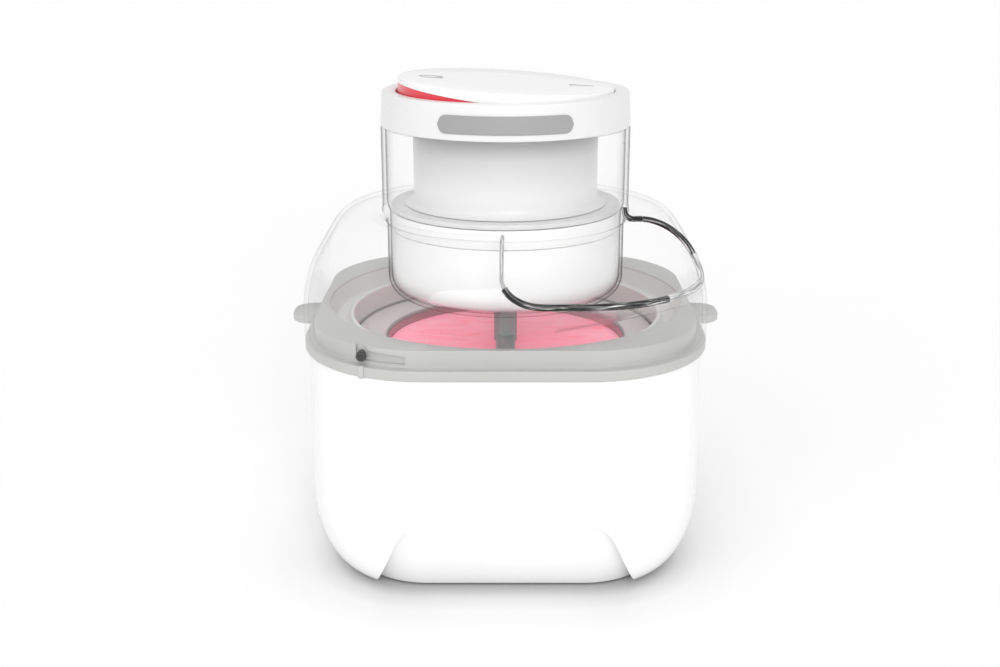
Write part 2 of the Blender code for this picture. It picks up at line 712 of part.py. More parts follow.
def make_lid():
    skirt_low = BODY_TOP + GAP + FLANGE_HIGH + GAP
    neck_in = NECK_RADIUS - NECK_WALL
    pot_in = POT_RADIUS - POT_WALL
    pot_floor = POT_BOTTOM + POT_WALL + 0.0003
    outer = [(COLLAR_HALF, COLLAR_CORNER, skirt_low), *dome_sections(0.0, 5)]
    outer += [(r, r, z) for r, z in ((NECK_RADIUS + 0.0036, DOME_TOP - 0.0008), (NECK_RADIUS + 0.0012, NECK_ROOT + 0.0012))]
    outer += [(NECK_RADIUS, NECK_RADIUS, NECK_ROOT + 0.0030)]
    outer += [(NECK_RADIUS, NECK_RADIUS, NECK_TOP), (neck_in, neck_in, NECK_TOP)]
    fillet = POT_FILLET - POT_WALL
    inside = [(neck_in, NECK_ROOT + 0.0050), (pot_in, NECK_ROOT + 0.0020)]
    inside += arc(pot_in - fillet, pot_floor + fillet, fillet, fillet, 0, -90, 3)
    inside += [(POT_HOLE, pot_floor), (POT_HOLE, POT_BOTTOM)]
    inside += arc(POT_RADIUS - POT_FILLET, POT_BOTTOM + POT_FILLET, POT_FILLET, POT_FILLET, -90, 0, 3)
    inside += [(POT_RADIUS, NECK_ROOT - 0.0045), (POT_RADIUS + 0.0026, NECK_ROOT - 0.0018)]
    inner_dome = list(reversed(dome_sections(LID_WALL, 5)))
    skirt_in = (COLLAR_HALF - LID_WALL, COLLAR_CORNER - LID_WALL, skirt_low)
    sections = outer + [(r, r, z) for r, z in inside] + inner_dome + [skirt_in]
    lid = loft("lid", sections, CLEAR)
    cut(lid, fill_cutter())
    join(lid, chute_side(), chute_wall())
    for name, side in (("left", -1), ("right", 1)):
        half = EAR_LENGTH / 2 + SLIDE_GAP
        low = (min(side * (PLATFORM_HALF - 0.0080), side * (EAR_REACH + 0.0067)), -half, skirt_low - 0.002)
        high = (max(side * (PLATFORM_HALF - 0.0080), side * (EAR_REACH + 0.0067)), half, EAR_TOP + GAP)
        cut(lid, box("ear_notch_" + name, low, high, CLEAR))
    for name, sign in (("front", 1), ("back", -1)):
        hole = stud_cylinder("stud_hole_" + name, STUD_RADIUS + GAP, -0.0045, 0.004, sign, CLEAR)
        cut(lid, hole)
    return lid


def stud_cylinder(name, radius, inner, outer, sign, finish):
    """A cylinder across the skirt at the stud's place, from inner to outer past the skirt's face."""
    x, y, facing = stud_place()
    stud = turned(name, [(0, inner), (radius, inner), (radius, outer), (0, outer)], finish, 16)
    turn = Matrix.Rotation(facing + (0 if sign > 0 else math.pi), 4, "Z") @ Matrix.Rotation(math.pi / 2, 4, "Y")
    stud.matrix_world = Matrix.Translation((sign * x, sign * y, STUD_Z)) @ turn
    return stud


def make_studs():
    for name, sign in (("front", 1), ("back", -1)):
        stud_cylinder("latch_stud_" + name, STUD_RADIUS, -0.0060, 0.0004, sign, DARK_GREY)


# ---------------------------------------------------------------- motor head
def make_band():
    edge = 0.0010
    profile = [
        (BAND_TOP_RADIUS - edge, BAND_TOP),
        (BAND_TOP_RADIUS, BAND_TOP - edge),
        (BAND_RADIUS, BAND_BOTTOM),
        (BAND_FLOOR_HOLE, BAND_BOTTOM),
        (BAND_FLOOR_HOLE, BAND_BOTTOM + BAND_FLOOR),
        (BAND_RADIUS - 0.0040, BAND_BOTTOM + BAND_FLOOR),
        (BAND_RADIUS - 0.0040, BAND_TOP - 0.0045),
        (BAND_OPENING, BAND_TOP - 0.0030),
        (BAND_OPENING, BAND_TOP),
    ]
    band = turned("head_band", profile, WHITE)
    return cut(band, inlet_body("inlet_hole", INLET_RADIUS + GAP, 0.050, 0.065))


def inlet_body(name, radius, start, end):
    inlet = turned(name, [(0, start), (radius, start), (radius, end), (0, end)], DARK_GREY, 20)
    turn = Matrix.Rotation(-math.pi / 2, 4, "X")
    inlet.matrix_world = Matrix.Translation((0, 0, INLET_Z)) @ turn
    return inlet


def make_inlet():
    inlet = inlet_body("power_inlet", INLET_RADIUS, BAND_RADIUS - 0.0055, BAND_RADIUS + 0.0006)
    return cut(inlet, inlet_body("inlet_socket", INLET_RADIUS - 0.0012, BAND_RADIUS - 0.0035, BAND_RADIUS + 0.003))


def make_tower():
    low = DISC_TOP + GAP
    top = BAND_BOTTOM - GAP
    inner = TOWER_RADIUS - TOWER_WALL
    profile = [(inner, top), (TOWER_RADIUS, top), (TOWER_RADIUS, low + 0.0045)]
    profile += [(TOWER_RADIUS + 0.0010, low + 0.0018), (TOWER_FOOT_RADIUS, low), (inner, low)]
    return turned("motor_housing", profile, WHITE)


def make_disc():
    low = DISC_TOP - DISC_THICK
    profile = [
        (DISC_RADIUS, DISC_TOP),
        (DISC_RADIUS, low),
        (DISC_HOLE, low),
        (DISC_HOLE, DISC_TOP),
    ]
    return turned("flange_disc", profile, PALE_GREY)


def make_upper_bell():
    high = DISC_TOP - DISC_THICK - GAP
    low = BELL_SEAM + GAP
    inner = BELL_RADIUS - BELL_WALL
    return turned("bell_upper", [(BELL_RADIUS, high), (BELL_RADIUS, low), (inner, low), (inner, high)], WHITE)


def gear_posts():
    """Places of the three posts that carry the gear plate."""
    places = []
    for step in range(3):
        angle = math.radians(-90 + 120 * step)
        places.append((step + 1, GEAR_POST_AT * math.cos(angle), GEAR_POST_AT * math.sin(angle)))
    return places


def make_lower_bell():
    inner = BELL_FILLET - BELL_WALL
    centre = (BELL_RADIUS - BELL_FILLET, BELL_BOTTOM + BELL_FILLET)
    floor = BELL_BOTTOM + BELL_WALL
    hole = BUSH_RADIUS + GAP
    profile = [(hole, BELL_BOTTOM), *arc(*centre, BELL_FILLET, BELL_FILLET, -90, 0, 3), (BELL_RADIUS, BELL_SEAM)]
    profile += [(BELL_RADIUS - BELL_WALL, BELL_SEAM), *arc(*centre, inner, inner, 0, -90, 3), (hole, floor)]
    bell = turned("bell_lower", profile, WHITE)
    for index, x, y in gear_posts():
        join(bell, rod(f"gear_post_{index}", 0.0036, floor - 0.0010, GEAR_PLATE_Z - GAP, WHITE, 12, x, y))
    for index, x, y in gear_posts():
        pilot = SCREW_RADIUS + RUN_GAP
        low = GEAR_PLATE_Z - 0.011
        cut(bell, rod(f"gear_pilot_{index}", pilot, low, GEAR_PLATE_Z + 0.001, WHITE, SCREW_SIDES, x, y))
    return bell


def motor_ears():
    return ((1, -MOTOR_EAR_AT), (2, MOTOR_EAR_AT))


def make_gear_plate():
    top = GEAR_PLATE_Z + GEAR_PLATE_THICK
    outer = BELL_RADIUS - BELL_WALL - FLAT_GAP
    profile = [(outer, top), (outer, GEAR_PLATE_Z), (0.0040, GEAR_PLATE_Z), (0.0040, top)]
    plate = turned("gear_plate", profile, STEEL, HIDDEN_SIDES)
    hole = SCREW_RADIUS + RUN_GAP
    low = GEAR_PLATE_Z - 0.001
    for index, x, y in gear_posts():
        cut(plate, rod(f"plate_screw_hole_{index}", hole, low, top + 0.001, STEEL, SCREW_SIDES, x, y))
    for index, x in motor_ears():
        cut(plate, rod(f"plate_motor_hole_{index}", hole, low, top + 0.001, STEEL, SCREW_SIDES, x))
    return plate


def make_gear_screws():
    seat = GEAR_PLATE_Z + GEAR_PLATE_THICK + RUN_GAP
    for index, x, y in gear_posts():
        screw(f"gear_plate_screw_{index}", x, y, seat, 0.0016, 0.0110, False)


def make_motor():
    top = MOTOR_BOTTOM + MOTOR_HIGH
    bore = PIN_RADIUS + RUN_GAP
    profile = [
        (bore, MOTOR_BOTTOM - 0.0020),
        (0.0070, MOTOR_BOTTOM - 0.0020),
        (0.0070, MOTOR_BOTTOM),
        (MOTOR_RADIUS - 0.0015, MOTOR_BOTTOM),
        (MOTOR_RADIUS, MOTOR_BOTTOM + 0.0015),
        (MOTOR_RADIUS, top - 0.0015),
        (MOTOR_RADIUS - 0.0015, top),
        (bore, top),
    ]
    motor = turned("motor", profile, STEEL, HIDDEN_SIDES)
    for index, x in motor_ears():
        tip = x + math.copysign(0.0045, x)
        low = (min(x * 0.75, tip), -0.0045, MOTOR_BOTTOM + 0.0004)
        high = (max(x * 0.75, tip), 0.0045, MOTOR_BOTTOM + 0.0020)
        join(motor, box(f"motor_ear_{index}", low, high, STEEL))
    for index, x in motor_ears():
        hole = SCREW_RADIUS + RUN_GAP
        cut(motor, rod(f"ear_hole_{index}", hole, MOTOR_BOTTOM - 0.002, MOTOR_BOTTOM + 0.004, STEEL, SCREW_SIDES, x))
    return motor


def make_motor_screws():
    for index, x in motor_ears():
        screw(f"motor_screw_{index}", x, 0, MOTOR_BOTTOM + 0.0020 + RUN_GAP, 0.0016, 0.0072, False)


def involute(angle):
    return math.tan(angle) - angle


def gear_outline(teeth, phase):
    """Outline of an involute gear with a tooth centred on the phase angle."""
    pitch = MODULE * teeth / 2
    base = pitch * math.cos(PRESSURE_ANGLE)
    tip = pitch + ADDENDUM * MODULE
    root = pitch - DEDENDUM * MODULE
    half_tooth = math.pi / (2 * teeth) - TOOTH_THINNING / (2 * pitch) + involute(PRESSURE_ANGLE)
    start = max(base, root)
    flank = []
    for step in range(3):
        radius = start + (tip - start) * step / 2
        flank.append((radius, half_tooth - involute(math.acos(min(1.0, base / radius)))))
    if root < start:
        flank.insert(0, (root, flank[0][1]))
    points = []
    for tooth in range(teeth):
        centre = phase + 2 * math.pi * tooth / teeth
        side = [(radius, centre - turn) for radius, turn in flank]
        side += [(radius, centre + turn) for radius, turn in reversed(flank)]
        points += [(radius * math.cos(turn), radius * math.sin(turn)) for radius, turn in side]
    return points


GEAR_DIRECTION = math.pi / 2  # from the output shaft's axis to the idler's, towards the back


def make_output():
    """The hexagonal output shaft and the wheel on it."""
    shaft = rod("output_shaft", SHAFT_RADIUS, POT_BOTTOM + 0.0008, LOWER_GEAR_TOP + 0.0010, STEEL)
    join(shaft, rod("hex_end", HEX_RADIUS, HEX_BOTTOM, BELL_BOTTOM - GAP, STEEL, count=6))
    wheel = prism("output_gear", gear_outline(WHEEL_TEETH, GEAR_DIRECTION), LOWER_GEAR_Z, LOWER_GEAR_TOP, NYLON)
    cut(wheel, rod("output_bore", SHAFT_RADIUS + GAP, LOWER_GEAR_Z - 0.001, LOWER_GEAR_TOP + 0.001, NYLON))


def make_idler():
    """The double gear on its fixed pin: small teeth drive the output wheel, large teeth meet the pinion."""
    facing = GEAR_DIRECTION + math.pi
    small_phase = facing + math.pi / PINION_TEETH
    low = LOWER_GEAR_Z - 0.0005
    small = prism("idler_small", gear_outline(PINION_TEETH, small_phase), low, UPPER_GEAR_Z + 0.001, NYLON)
    idler = prism("idler_gear", gear_outline(WHEEL_TEETH, facing), UPPER_GEAR_Z, UPPER_GEAR_TOP, NYLON)
    hub = rod("idler_hub", 0.0040, UPPER_GEAR_Z + 0.001, GEAR_PLATE_Z - 2 * GAP, NYLON)
    join(idler, small, hub)
    cut(idler, rod("idler_bore", PIN_RADIUS + RUN_GAP, low - 0.001, GEAR_PLATE_Z, NYLON))
    pin = rod("idler_pin", PIN_RADIUS, BELL_BOTTOM + BELL_WALL + GAP, GEAR_PLATE_Z - GAP, STEEL)
    for obj in (idler, small, hub, bpy.data.objects["idler_bore"], pin):
        obj.location.y = GEAR_DISTANCE


def make_drive():
    """The motor's shaft and the pinion on its lower end."""
    pinion_phase = GEAR_DIRECTION + math.pi / PINION_TEETH
    outline_points = gear_outline(PINION_TEETH, pinion_phase)
    pinion = prism("drive_pinion", outline_points, UPPER_GEAR_Z + GAP, UPPER_GEAR_TOP, NYLON)
    low = UPPER_GEAR_Z + GAP
    cut(pinion, rod("pinion_bore", PIN_RADIUS + GAP, low - 0.001, UPPER_GEAR_TOP + 0.001, NYLON))
    rod("motor_shaft", PIN_RADIUS, low, MOTOR_BOTTOM + MOTOR_HIGH + 0.002, STEEL)


def make_bush():
    low = BELL_BOTTOM + GAP
    high = LOWER_GEAR_Z - GAP
    bore = SHAFT_RADIUS + RUN_GAP
    profile = [(BUSH_RADIUS, high), (BUSH_RADIUS, low), (bore, low), (bore, high)]
    return turned("shaft_bush", profile, BRASS, FINE_SIDES)


def make_board():
    return box("circuit_board", (0.0322, -0.0140, DISC_TOP + 0.0018), (0.0338, 0.0140, DISC_TOP + 0.0298), BOARD)


# ---------------------------------------------------------------- rocker
FRAME_Z = BAND_BOTTOM + BAND_FLOOR + GAP
FRAME_THICK = 0.0020


def make_switch_frame():
    top = FRAME_Z + FRAME_THICK
    outer = BAND_RADIUS - 0.0040 - GAP
    frame = rod("switch_frame", outer, FRAME_Z, top, WHITE, SIDES)
    for name, side in (("front", -1), ("back", 1)):
        middle = side * (ROCKER_LUG_AT + 0.0050)
        low = (-0.0040, middle - 0.0020, top - 0.0010)
        high = (0.0040, middle + 0.0020, ROCKER_PIVOT_Z + 0.0030)
        join(frame, box("frame_post_" + name, low, high, WHITE))
    return cut(frame, cross_pin("frame_pin_hole", PIN_RADIUS + RUN_GAP, 0.045))


def cross_pin(name, radius, half_length):
    """A cylinder along Y on the rocker's axis."""
    pin = turned(name, [(0, -half_length), (radius, -half_length), (radius, half_length), (0, half_length)], STEEL, 24)
    pin.matrix_world = Matrix.Translation((0, 0, ROCKER_PIVOT_Z)) @ Matrix.Rotation(-math.pi / 2, 4, "X")
    return pin


def make_switch_body():
    low = FRAME_Z + FRAME_THICK + GAP
    return box("switch_body", (-0.0110, -0.0080, low), (0.0110, 0.0080, ROCKER_PIVOT_Z - 0.0025), BLACK, 0.0006)


def rocker_pivot():
    """The rocker's axis; its pieces hang from this empty, which leans them to the rest position."""
    pivot = bpy.data.objects.new("rocker_axis", None)
    pivot.location = (0, 0, ROCKER_PIVOT_Z)
    pivot.rotation_euler.y = ROCKER_TILT
    bpy.context.scene.collection.objects.link(pivot)
    return pivot


def wedge_depth(x):
    """How far below the rocker's top the white cap ends, at a place across it."""
    return ROCKER_LEFT_THICK + ROCKER_SLOPE * (x + ROCKER_RADIUS)


def wedge_ring(mesh, radius, top, level, count=SIDES):
    """A ring whose height follows the wedge when level is None."""
    ring = []
    for x, y in outline(radius, radius, count):
        z = top - wedge_depth(x) if level is None else level
        ring.append(mesh.verts.new((x, y, z)))
    return ring


def ring_body(name, rings, finish):
    """Closes a list of vertex rings into one ring-shaped body."""
    mesh, loops = rings
    count = len(loops[0])
    for before, after in zip(loops, loops[1:] + loops[:1]):
        for step in range(count):
            other = (step + 1) % count
            mesh.faces.new((before[step], before[other], after[other], after[step]))
    return add_object(name, mesh, finish)


def make_rocker():
    pivot = rocker_pivot()
    top = ROCKER_TOP - ROCKER_PIVOT_Z
    inner = ROCKER_RADIUS - ROCKER_WALL
    mesh = bmesh.new()
    loops = [
        wedge_ring(mesh, ROCKER_RADIUS - 0.0008, top, top),
        wedge_ring(mesh, ROCKER_RADIUS, top, top - 0.0008),
        wedge_ring(mesh, ROCKER_RADIUS, top, None),
        wedge_ring(mesh, inner, top, None),
        wedge_ring(mesh, inner, top, top - 0.0018),
    ]
    for before, after in zip(loops, loops[1:]):
        for step in range(SIDES):
            other = (step + 1) % SIDES
            mesh.faces.new((before[step], before[other], after[other], after[step]))
    mesh.faces.new(loops[0])
    mesh.faces.new(loops[-1])
    cap = add_object("rocker_cap", mesh, WHITE)
    for name, side in (("front", -1), ("back", 1)):
        middle = side * ROCKER_LUG_AT
        low = (-0.0035, middle - 0.0018, -0.0030)
        high = (0.0035, middle + 0.0018, top - 0.0010)
        join(cap, box("rocker_lug_" + name, low, high, WHITE))
    bore = turned(
        "rocker_bore",
        [(0, -0.04), (PIN_RADIUS + RUN_GAP, -0.04), (PIN_RADIUS + RUN_GAP, 0.04), (0, 0.04)],
        WHITE,
        24,
    )
    bore.rotation_euler.x = -math.pi / 2
    cut(cap, bore)

    mesh = bmesh.new()
    low = top - ROCKER_DEEP
    shift = top - GAP
    outer = ROCKER_RADIUS - 0.0002
    loops = [
        wedge_ring(mesh, outer, shift, None),
        wedge_ring(mesh, outer, shift, low),
        wedge_ring(mesh, inner, shift, low),
        wedge_ring(mesh, inner, shift, None),
    ]
    skirt = ring_body("rocker_skirt", (mesh, loops), RED)
    far = ROCKER_RADIUS + 0.01
    trim = box("skirt_trim", (SKIRT_END_X, -far, low - 0.01), (far, far, top + 0.01), RED)
    cut(skirt, trim)
    helpers = [bpy.data.objects["rocker_lug_front"], bpy.data.objects["rocker_lug_back"]]
    for obj in (cap, skirt, bore, trim, *helpers):
        obj.parent = pivot


# ---------------------------------------------------------------- paddle
def make_paddle():
    reach = CUP_RADIUS - PADDLE_CLEAR
    floor = CUP_FLOOR + PADDLE_CLEAR
    half = BLADE_THICK / 2
    profile = [
        (0, HUB_BOTTOM),
        (HUB_RADIUS - 0.0010, HUB_BOTTOM),
        (HUB_RADIUS, HUB_BOTTOM + 0.0010),
        (HUB_RADIUS, HUB_TOP - 0.0050),
        (HUB_RADIUS - 0.0015, HUB_TOP),
        (0, HUB_TOP),
    ]
    paddle = turned("paddle", profile, GREY, FINE_SIDES)
    arm = box(
        "paddle_arm",
        (-ARM_WIDTH / 2, -reach + 0.0020, ARM_Z),
        (ARM_WIDTH / 2, reach - 0.0020, ARM_Z + ARM_THICK),
        GREY,
        bevel=0.0010,
    )
    parts = [arm]
    for name, side in (("front", -1), ("back", 1)):
        low = (-half, min(side * reach, side * (reach - BLADE_WIDTH)), floor + CUP_FILLET * 0.7)
        high = (half, max(side * reach, side * (reach - BLADE_WIDTH)), ARM_Z + ARM_THICK / 2)
        parts.append(box("paddle_blade_" + name, low, high, GREY, bevel=0.0006, steps=1))
    scraper_reach = CUP_RADIUS - CUP_FILLET * 0.8
    low = (-half, -scraper_reach, floor)
    high = (half, scraper_reach, floor + BLADE_WIDTH)
    parts.append(box("paddle_scraper", low, high, GREY, bevel=0.0006, steps=1))
    parts.append(box("paddle_stem", (-half, -0.004, floor + 0.002), (half, 0.004, ARM_Z + 0.001), GREY))
    join(paddle, *parts)
    socket = rod("paddle_socket", HEX_RADIUS + 0.0002, HEX_BOTTOM - 0.0010, HUB_TOP + 0.001, GREY, count=6)
    return cut(paddle, socket)


# ---------------------------------------------------------------- badge
def make_badge():
    """A blank raised bar on the front of the band."""
    mesh = bmesh.new()
    steps = 12
    columns = []
    lean = (BAND_RADIUS - BAND_TOP_RADIUS) / (BAND_TOP - BAND_BOTTOM)
    for step in range(steps + 1):
        angle = math.radians(-90 - BADGE_HALF_ANGLE + 2 * BADGE_HALF_ANGLE * step / steps)
        column = []
        for proud, z in ((GAP, BADGE_LOW), (BADGE_PROUD, BADGE_LOW), (BADGE_PROUD, BADGE_HIGH), (GAP, BADGE_HIGH)):
            radius = BAND_RADIUS - lean * (z - BAND_BOTTOM) + proud
            column.append(mesh.verts.new((radius * math.cos(angle), radius * math.sin(angle), z)))
        columns.append(column)
    for before, after in zip(columns, columns[1:]):
        for side in range(4):
            other = (side + 1) % 4
            mesh.faces.new((before[side], before[other], after[other], after[side]))
    mesh.faces.new(columns[0])
    mesh.faces.new(columns[-1])
    return add_object("badge", mesh, PALE_GREY)


def main():
    clear_scene()
    for make in (
        make_housing, make_base_plate, make_feet, make_base_screws,
        make_collar, make_bowl_shell, make_inner_cup, make_coolant, make_bowl_seal,
        make_lid, make_studs,
        make_band, make_inlet, make_tower, make_disc, make_upper_bell, make_lower_bell, make_badge,
        make_gear_plate, make_gear_screws, make_motor, make_motor_screws, make_output, make_idler,
        make_drive, make_bush, make_board,
        make_switch_frame, make_switch_body, make_rocker, make_paddle,
    ):
        make()
    cross_pin("rocker_pin", PIN_RADIUS, ROCKER_LUG_AT + 0.0060)


main()
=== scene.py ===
"""Looks of the freezer-bowl ice cream maker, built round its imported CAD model.

Metres, +Z up, front towards -Y. Sizes come from the CAD nodes' boxes wherever a node gives them.
"""

import math

import bmesh
import bpy
from mathutils import Matrix, Vector


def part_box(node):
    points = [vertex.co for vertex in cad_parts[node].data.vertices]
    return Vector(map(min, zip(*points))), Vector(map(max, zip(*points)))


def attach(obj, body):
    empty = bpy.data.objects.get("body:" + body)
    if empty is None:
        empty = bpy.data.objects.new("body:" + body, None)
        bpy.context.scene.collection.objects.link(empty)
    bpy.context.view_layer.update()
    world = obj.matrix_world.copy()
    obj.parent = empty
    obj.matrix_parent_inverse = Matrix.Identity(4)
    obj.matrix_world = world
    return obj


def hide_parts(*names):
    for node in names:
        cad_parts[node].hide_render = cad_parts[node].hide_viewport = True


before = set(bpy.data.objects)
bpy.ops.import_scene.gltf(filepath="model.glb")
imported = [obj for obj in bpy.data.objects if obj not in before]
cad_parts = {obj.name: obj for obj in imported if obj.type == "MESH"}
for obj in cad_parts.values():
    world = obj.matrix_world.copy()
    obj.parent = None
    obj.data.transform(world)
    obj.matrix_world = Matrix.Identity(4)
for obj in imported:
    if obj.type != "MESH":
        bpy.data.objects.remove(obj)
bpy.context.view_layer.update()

# ---------------------------------------------------------------- sizes
SIDES = 192  # points round each large outline
SMALL_SIDES = 48


def low(node):
    return Vector(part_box(node)[0])


def high(node):
    return Vector(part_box(node)[1])


BODY_HALF = high("outer_housing").x
BODY_LOW = low("outer_housing").z
BODY_TOP = high("outer_housing").z
BODY_TOP_HALF = BODY_HALF - 0.0007
BODY_CORNER_CENTRE = 0.0360
BODY_BULGE_Z = 0.0520
BODY_FILLET_HIGH = 0.0400
BODY_FILLET_WIDE = 0.0200
BODY_WALL = 0.0026
RECESS_TOP = 0.0410
RECESS_TOP_HALF = 0.0445
RECESS_FOOT_HALF = 0.0605
RECESS_CORNER = 0.0085
RECESS_DEPTH_TOP = 0.0048
RECESS_DEPTH_FOOT = 0.0044

COLLAR_HALF = high("bowl_collar").y
COLLAR_CORNER = 0.0580
COLLAR_LOW = BODY_TOP + 0.0003
FLANGE_TOP = COLLAR_LOW + 0.0045
PLATFORM_HALF = 0.0880
PLATFORM_TOP = high("bowl_collar").z
MOUTH_RADIUS = 0.08465
LEDGE_RADIUS = 0.0821
LEDGE_Z = 0.1106
LIP_RADIUS = 0.0740
LIP_Z = 0.1132
WELL_BOTTOM = 0.1026
STUD_X = 0.0619
STUD_ROOT = 0.0792
STUD_Z = (low("latch_stud_front").z + high("latch_stud_front").z) / 2
EAR_REACH = high("bowl_collar").x
EAR_HALF = 0.0115
EAR_CORNER = 0.0085
EAR_LOW = 0.1083
EAR_HIGH = 0.1125

SHELL_WALL = 0.0018
SHELL_FILLET_WIDE = 0.0200
SHELL_FILLET_HIGH = 0.0300
CUP_RADIUS = 0.0570
CUP_WALL = 0.0015
CUP_FLOOR = low("bowl_inner_cup").z + CUP_WALL
CUP_FILLET = 0.0090
CUP_RIM_Z = 0.1016
CUP_RIM_RADIUS = 0.0590
CUP_EDGE = high("bowl_inner_cup").y
CUP_FLANGE_Z = high("bowl_inner_cup").z
ICE_Z = 0.0955
ICE_DEEP = 0.012

HUB_RADIUS = 0.0056
ARM_HALF = 0.0046
ARM_LOW = 0.0972
ARM_HIGH = 0.1004
BLADE_HALF = 0.0015
BLADE_WIDE = 0.0080

LID_LOW = low("lid").z
LID_WALL = 0.0020
DOME_START = 0.1250
DOME_TOP = 0.1640
DOME_TOP_RADIUS = 0.0660
NECK_RADIUS = 0.0584
NECK_ROOT = 0.1612
NECK_TOP = high("lid").z
NECK_WALL = 0.0020
POT_RADIUS = 0.0564
POT_WALL = 0.0014
POT_LOW = 0.1224
POT_FILLET = 0.0090
POT_HOLE = 0.0080
SHOULDER_RADIUS = 0.0620
FILL_START = -91.2  # degrees from +X, as are the other fill and chute angles
FILL_END = -21.5
FILL_CORNER_WIDE = 11.0
FILL_CORNER_HIGH = 0.0120
FILL_RIM = 0.1378
CHUTE_LOW = 0.1212
CHUTE_RADIUS = 0.0700
CHUTE_END = -24.0
CHUTE_SIDE_X = -0.0025
RIM_RISE = 0.0012
RIM_HALF = 0.0015
# angle where the fill rim's painted reflections turn from dark to pale
RIM_PALE = -46.0

BAND_LOW = low("head_band").z
BAND_TOP = high("head_band").z
BAND_RADIUS = 0.0585
BAND_TOP_RADIUS = 0.0575
BAND_OPENING = 0.0511
BAND_HOLE = 0.0360
BADGE_HALF_ANGLE = 30.0
TOWER_RADIUS = 0.0435
TOWER_LOW = low("motor_housing").z
TOWER_TOP = high("motor_housing").z
# painted shade on the tower: its white darkens between these two heights, for the band's shadow
TOWER_SHADE_FROM = 0.176
TOWER_SHADE_TO = 0.203
HEAD_WALL = 0.0022
DISC_TOP = high("flange_disc").z
DISC_LOW = low("flange_disc").z
DISC_RADIUS = 0.0544
DISC_HOLE = 0.0380
SHAFT_HOLE = 0.0065
BELL_RADIUS = 0.0545
BELL_SEAM = high("bell_lower").z
BELL_LOW = low("bell_lower").z
BELL_FILLET = 0.0090

ROCKER_PIVOT_Z = 0.2165
ROCKER_TOP = 0.2229
ROCKER_RADIUS = 0.0504
ROCKER_TILT = math.radians(3.35)
MARK_AT = 0.0350


# ---------------------------------------------------------------- shader tools
def srgb(red, green, blue):
    """Linear colour from 0-255 screen values."""
    out = []
    for value in (red, green, blue):
        share = value / 255
        out.append(share / 12.92 if share <= 0.04045 else ((share + 0.055) / 1.055) ** 2.4)
    return (*out, 1.0)


def shade(level):
    return srgb(level, level, level)


def grey(level):
    return (level, level, level, 1.0)


def set_inputs(node, values):
    for name, value in values.items():
        node.inputs[name].default_value = value


def new_material(name):
    made = bpy.data.materials.new(name)
    made.use_nodes = True
    tree = made.node_tree
    return made, tree, tree.nodes["Principled BSDF"]


def add(tree, kind, values=None, operation=None):
    """A new shader node with some inputs set, by name or by number."""
    node = tree.nodes.new("ShaderNode" + kind)
    if operation:
        node.operation = operation
    set_inputs(node, values or {})
    return node


def add_ramp(tree, *stops):
    """A colour ramp through (position, colour) stops."""
    node = add(tree, "ValToRGB")
    elements = node.color_ramp.elements
    for element, (position, colour) in zip(elements, (stops[0], stops[-1])):
        element.position = position
        element.color = colour
    for position, colour in stops[1:-1]:
        elements.new(position).color = colour
    return node


def wire(tree, *wires):
    """Joins an output of one node to an input of another, for each (node, output, node, input)."""
    for source, output, target, socket in wires:
        tree.links.new(source.outputs[output], target.inputs[socket])


def add_span(tree, low_value, high_value, **targets):
    """Maps the span between two values to 0-1, or to the targets."""
    values = {"From Min": low_value, "From Max": high_value}
    values.update({"To " + name.capitalize(): value for name, value in targets.items()})
    return add(tree, "MapRange", values)


# ---------------------------------------------------------------- materials
def plastic(name, first, second, roughness, grain_scale=900.0, grain=0.05, coat=0.0):
    """Moulded plastic with fine grain, whose colour drifts very slightly between two tones."""
    made, tree, shader = new_material(name)
    place = add(tree, "TexCoord")
    noise = add(tree, "TexNoise", {"Scale": grain_scale, "Detail": 3.0})
    bump = add(tree, "Bump", {"Strength": grain, "Distance": 0.0002})
    drift = add(tree, "TexNoise", {"Scale": 22.0})
    colours = add_ramp(tree, (0.3, first), (0.7, second))
    finish = add_span(tree, 0.3, 0.7, min=roughness * 0.9, max=roughness * 1.1)
    wire(
        tree,
        (place, "Object", noise, "Vector"),
        (noise, "Fac", bump, "Height"),
        (bump, "Normal", shader, "Normal"),
        (place, "Object", drift, "Vector"),
        (drift, "Fac", colours, "Fac"),
        (colours, "Color", shader, "Base Color"),
        (noise, "Fac", finish, "Value"),
        (finish, "Result", shader, "Roughness"),
    )
    set_inputs(shader, {"Coat Weight": coat, "Coat Roughness": 0.06})
    return made


def tower_plastic_painted_shade():
    """White plastic with painted shade: it darkens towards the top of the tower, for the shadow deep under
    the band.
    """
    made = plastic("tower_white_painted_shade", shade(228), shade(232), 0.30)
    tree = made.node_tree
    place = add(tree, "TexCoord")
    split = add(tree, "SeparateXYZ")
    # painted shade: the colour greys with height, for the shadow under the band
    span = add_span(tree, TOWER_SHADE_FROM, TOWER_SHADE_TO)
    ramp = add_ramp(tree, (0.0, shade(232)), (0.6, shade(212)), (1.0, shade(170)))
    wire(
        tree,
        (place, "Object", split, 0),
        (split, "Z", span, "Value"),
        (span, "Result", ramp, "Fac"),
        (ramp, "Color", tree.nodes["Principled BSDF"], "Base Color"),
    )
    return made


def well_plastic_painted_glow():
    """Grey plastic for the collar's well, with a painted glow that lifts it a little, for light that bounces
    about inside it.
    """
    made = plastic("well_grey_painted_glow", srgb(200, 200, 198), srgb(204, 204, 202), 0.38)
    # painted light: a faint grey glow for the light bouncing about in the well
    glow = {"Emission Color": srgb(200, 200, 198), "Emission Strength": 0.14}
    set_inputs(made.node_tree.nodes["Principled BSDF"], glow)
    return made


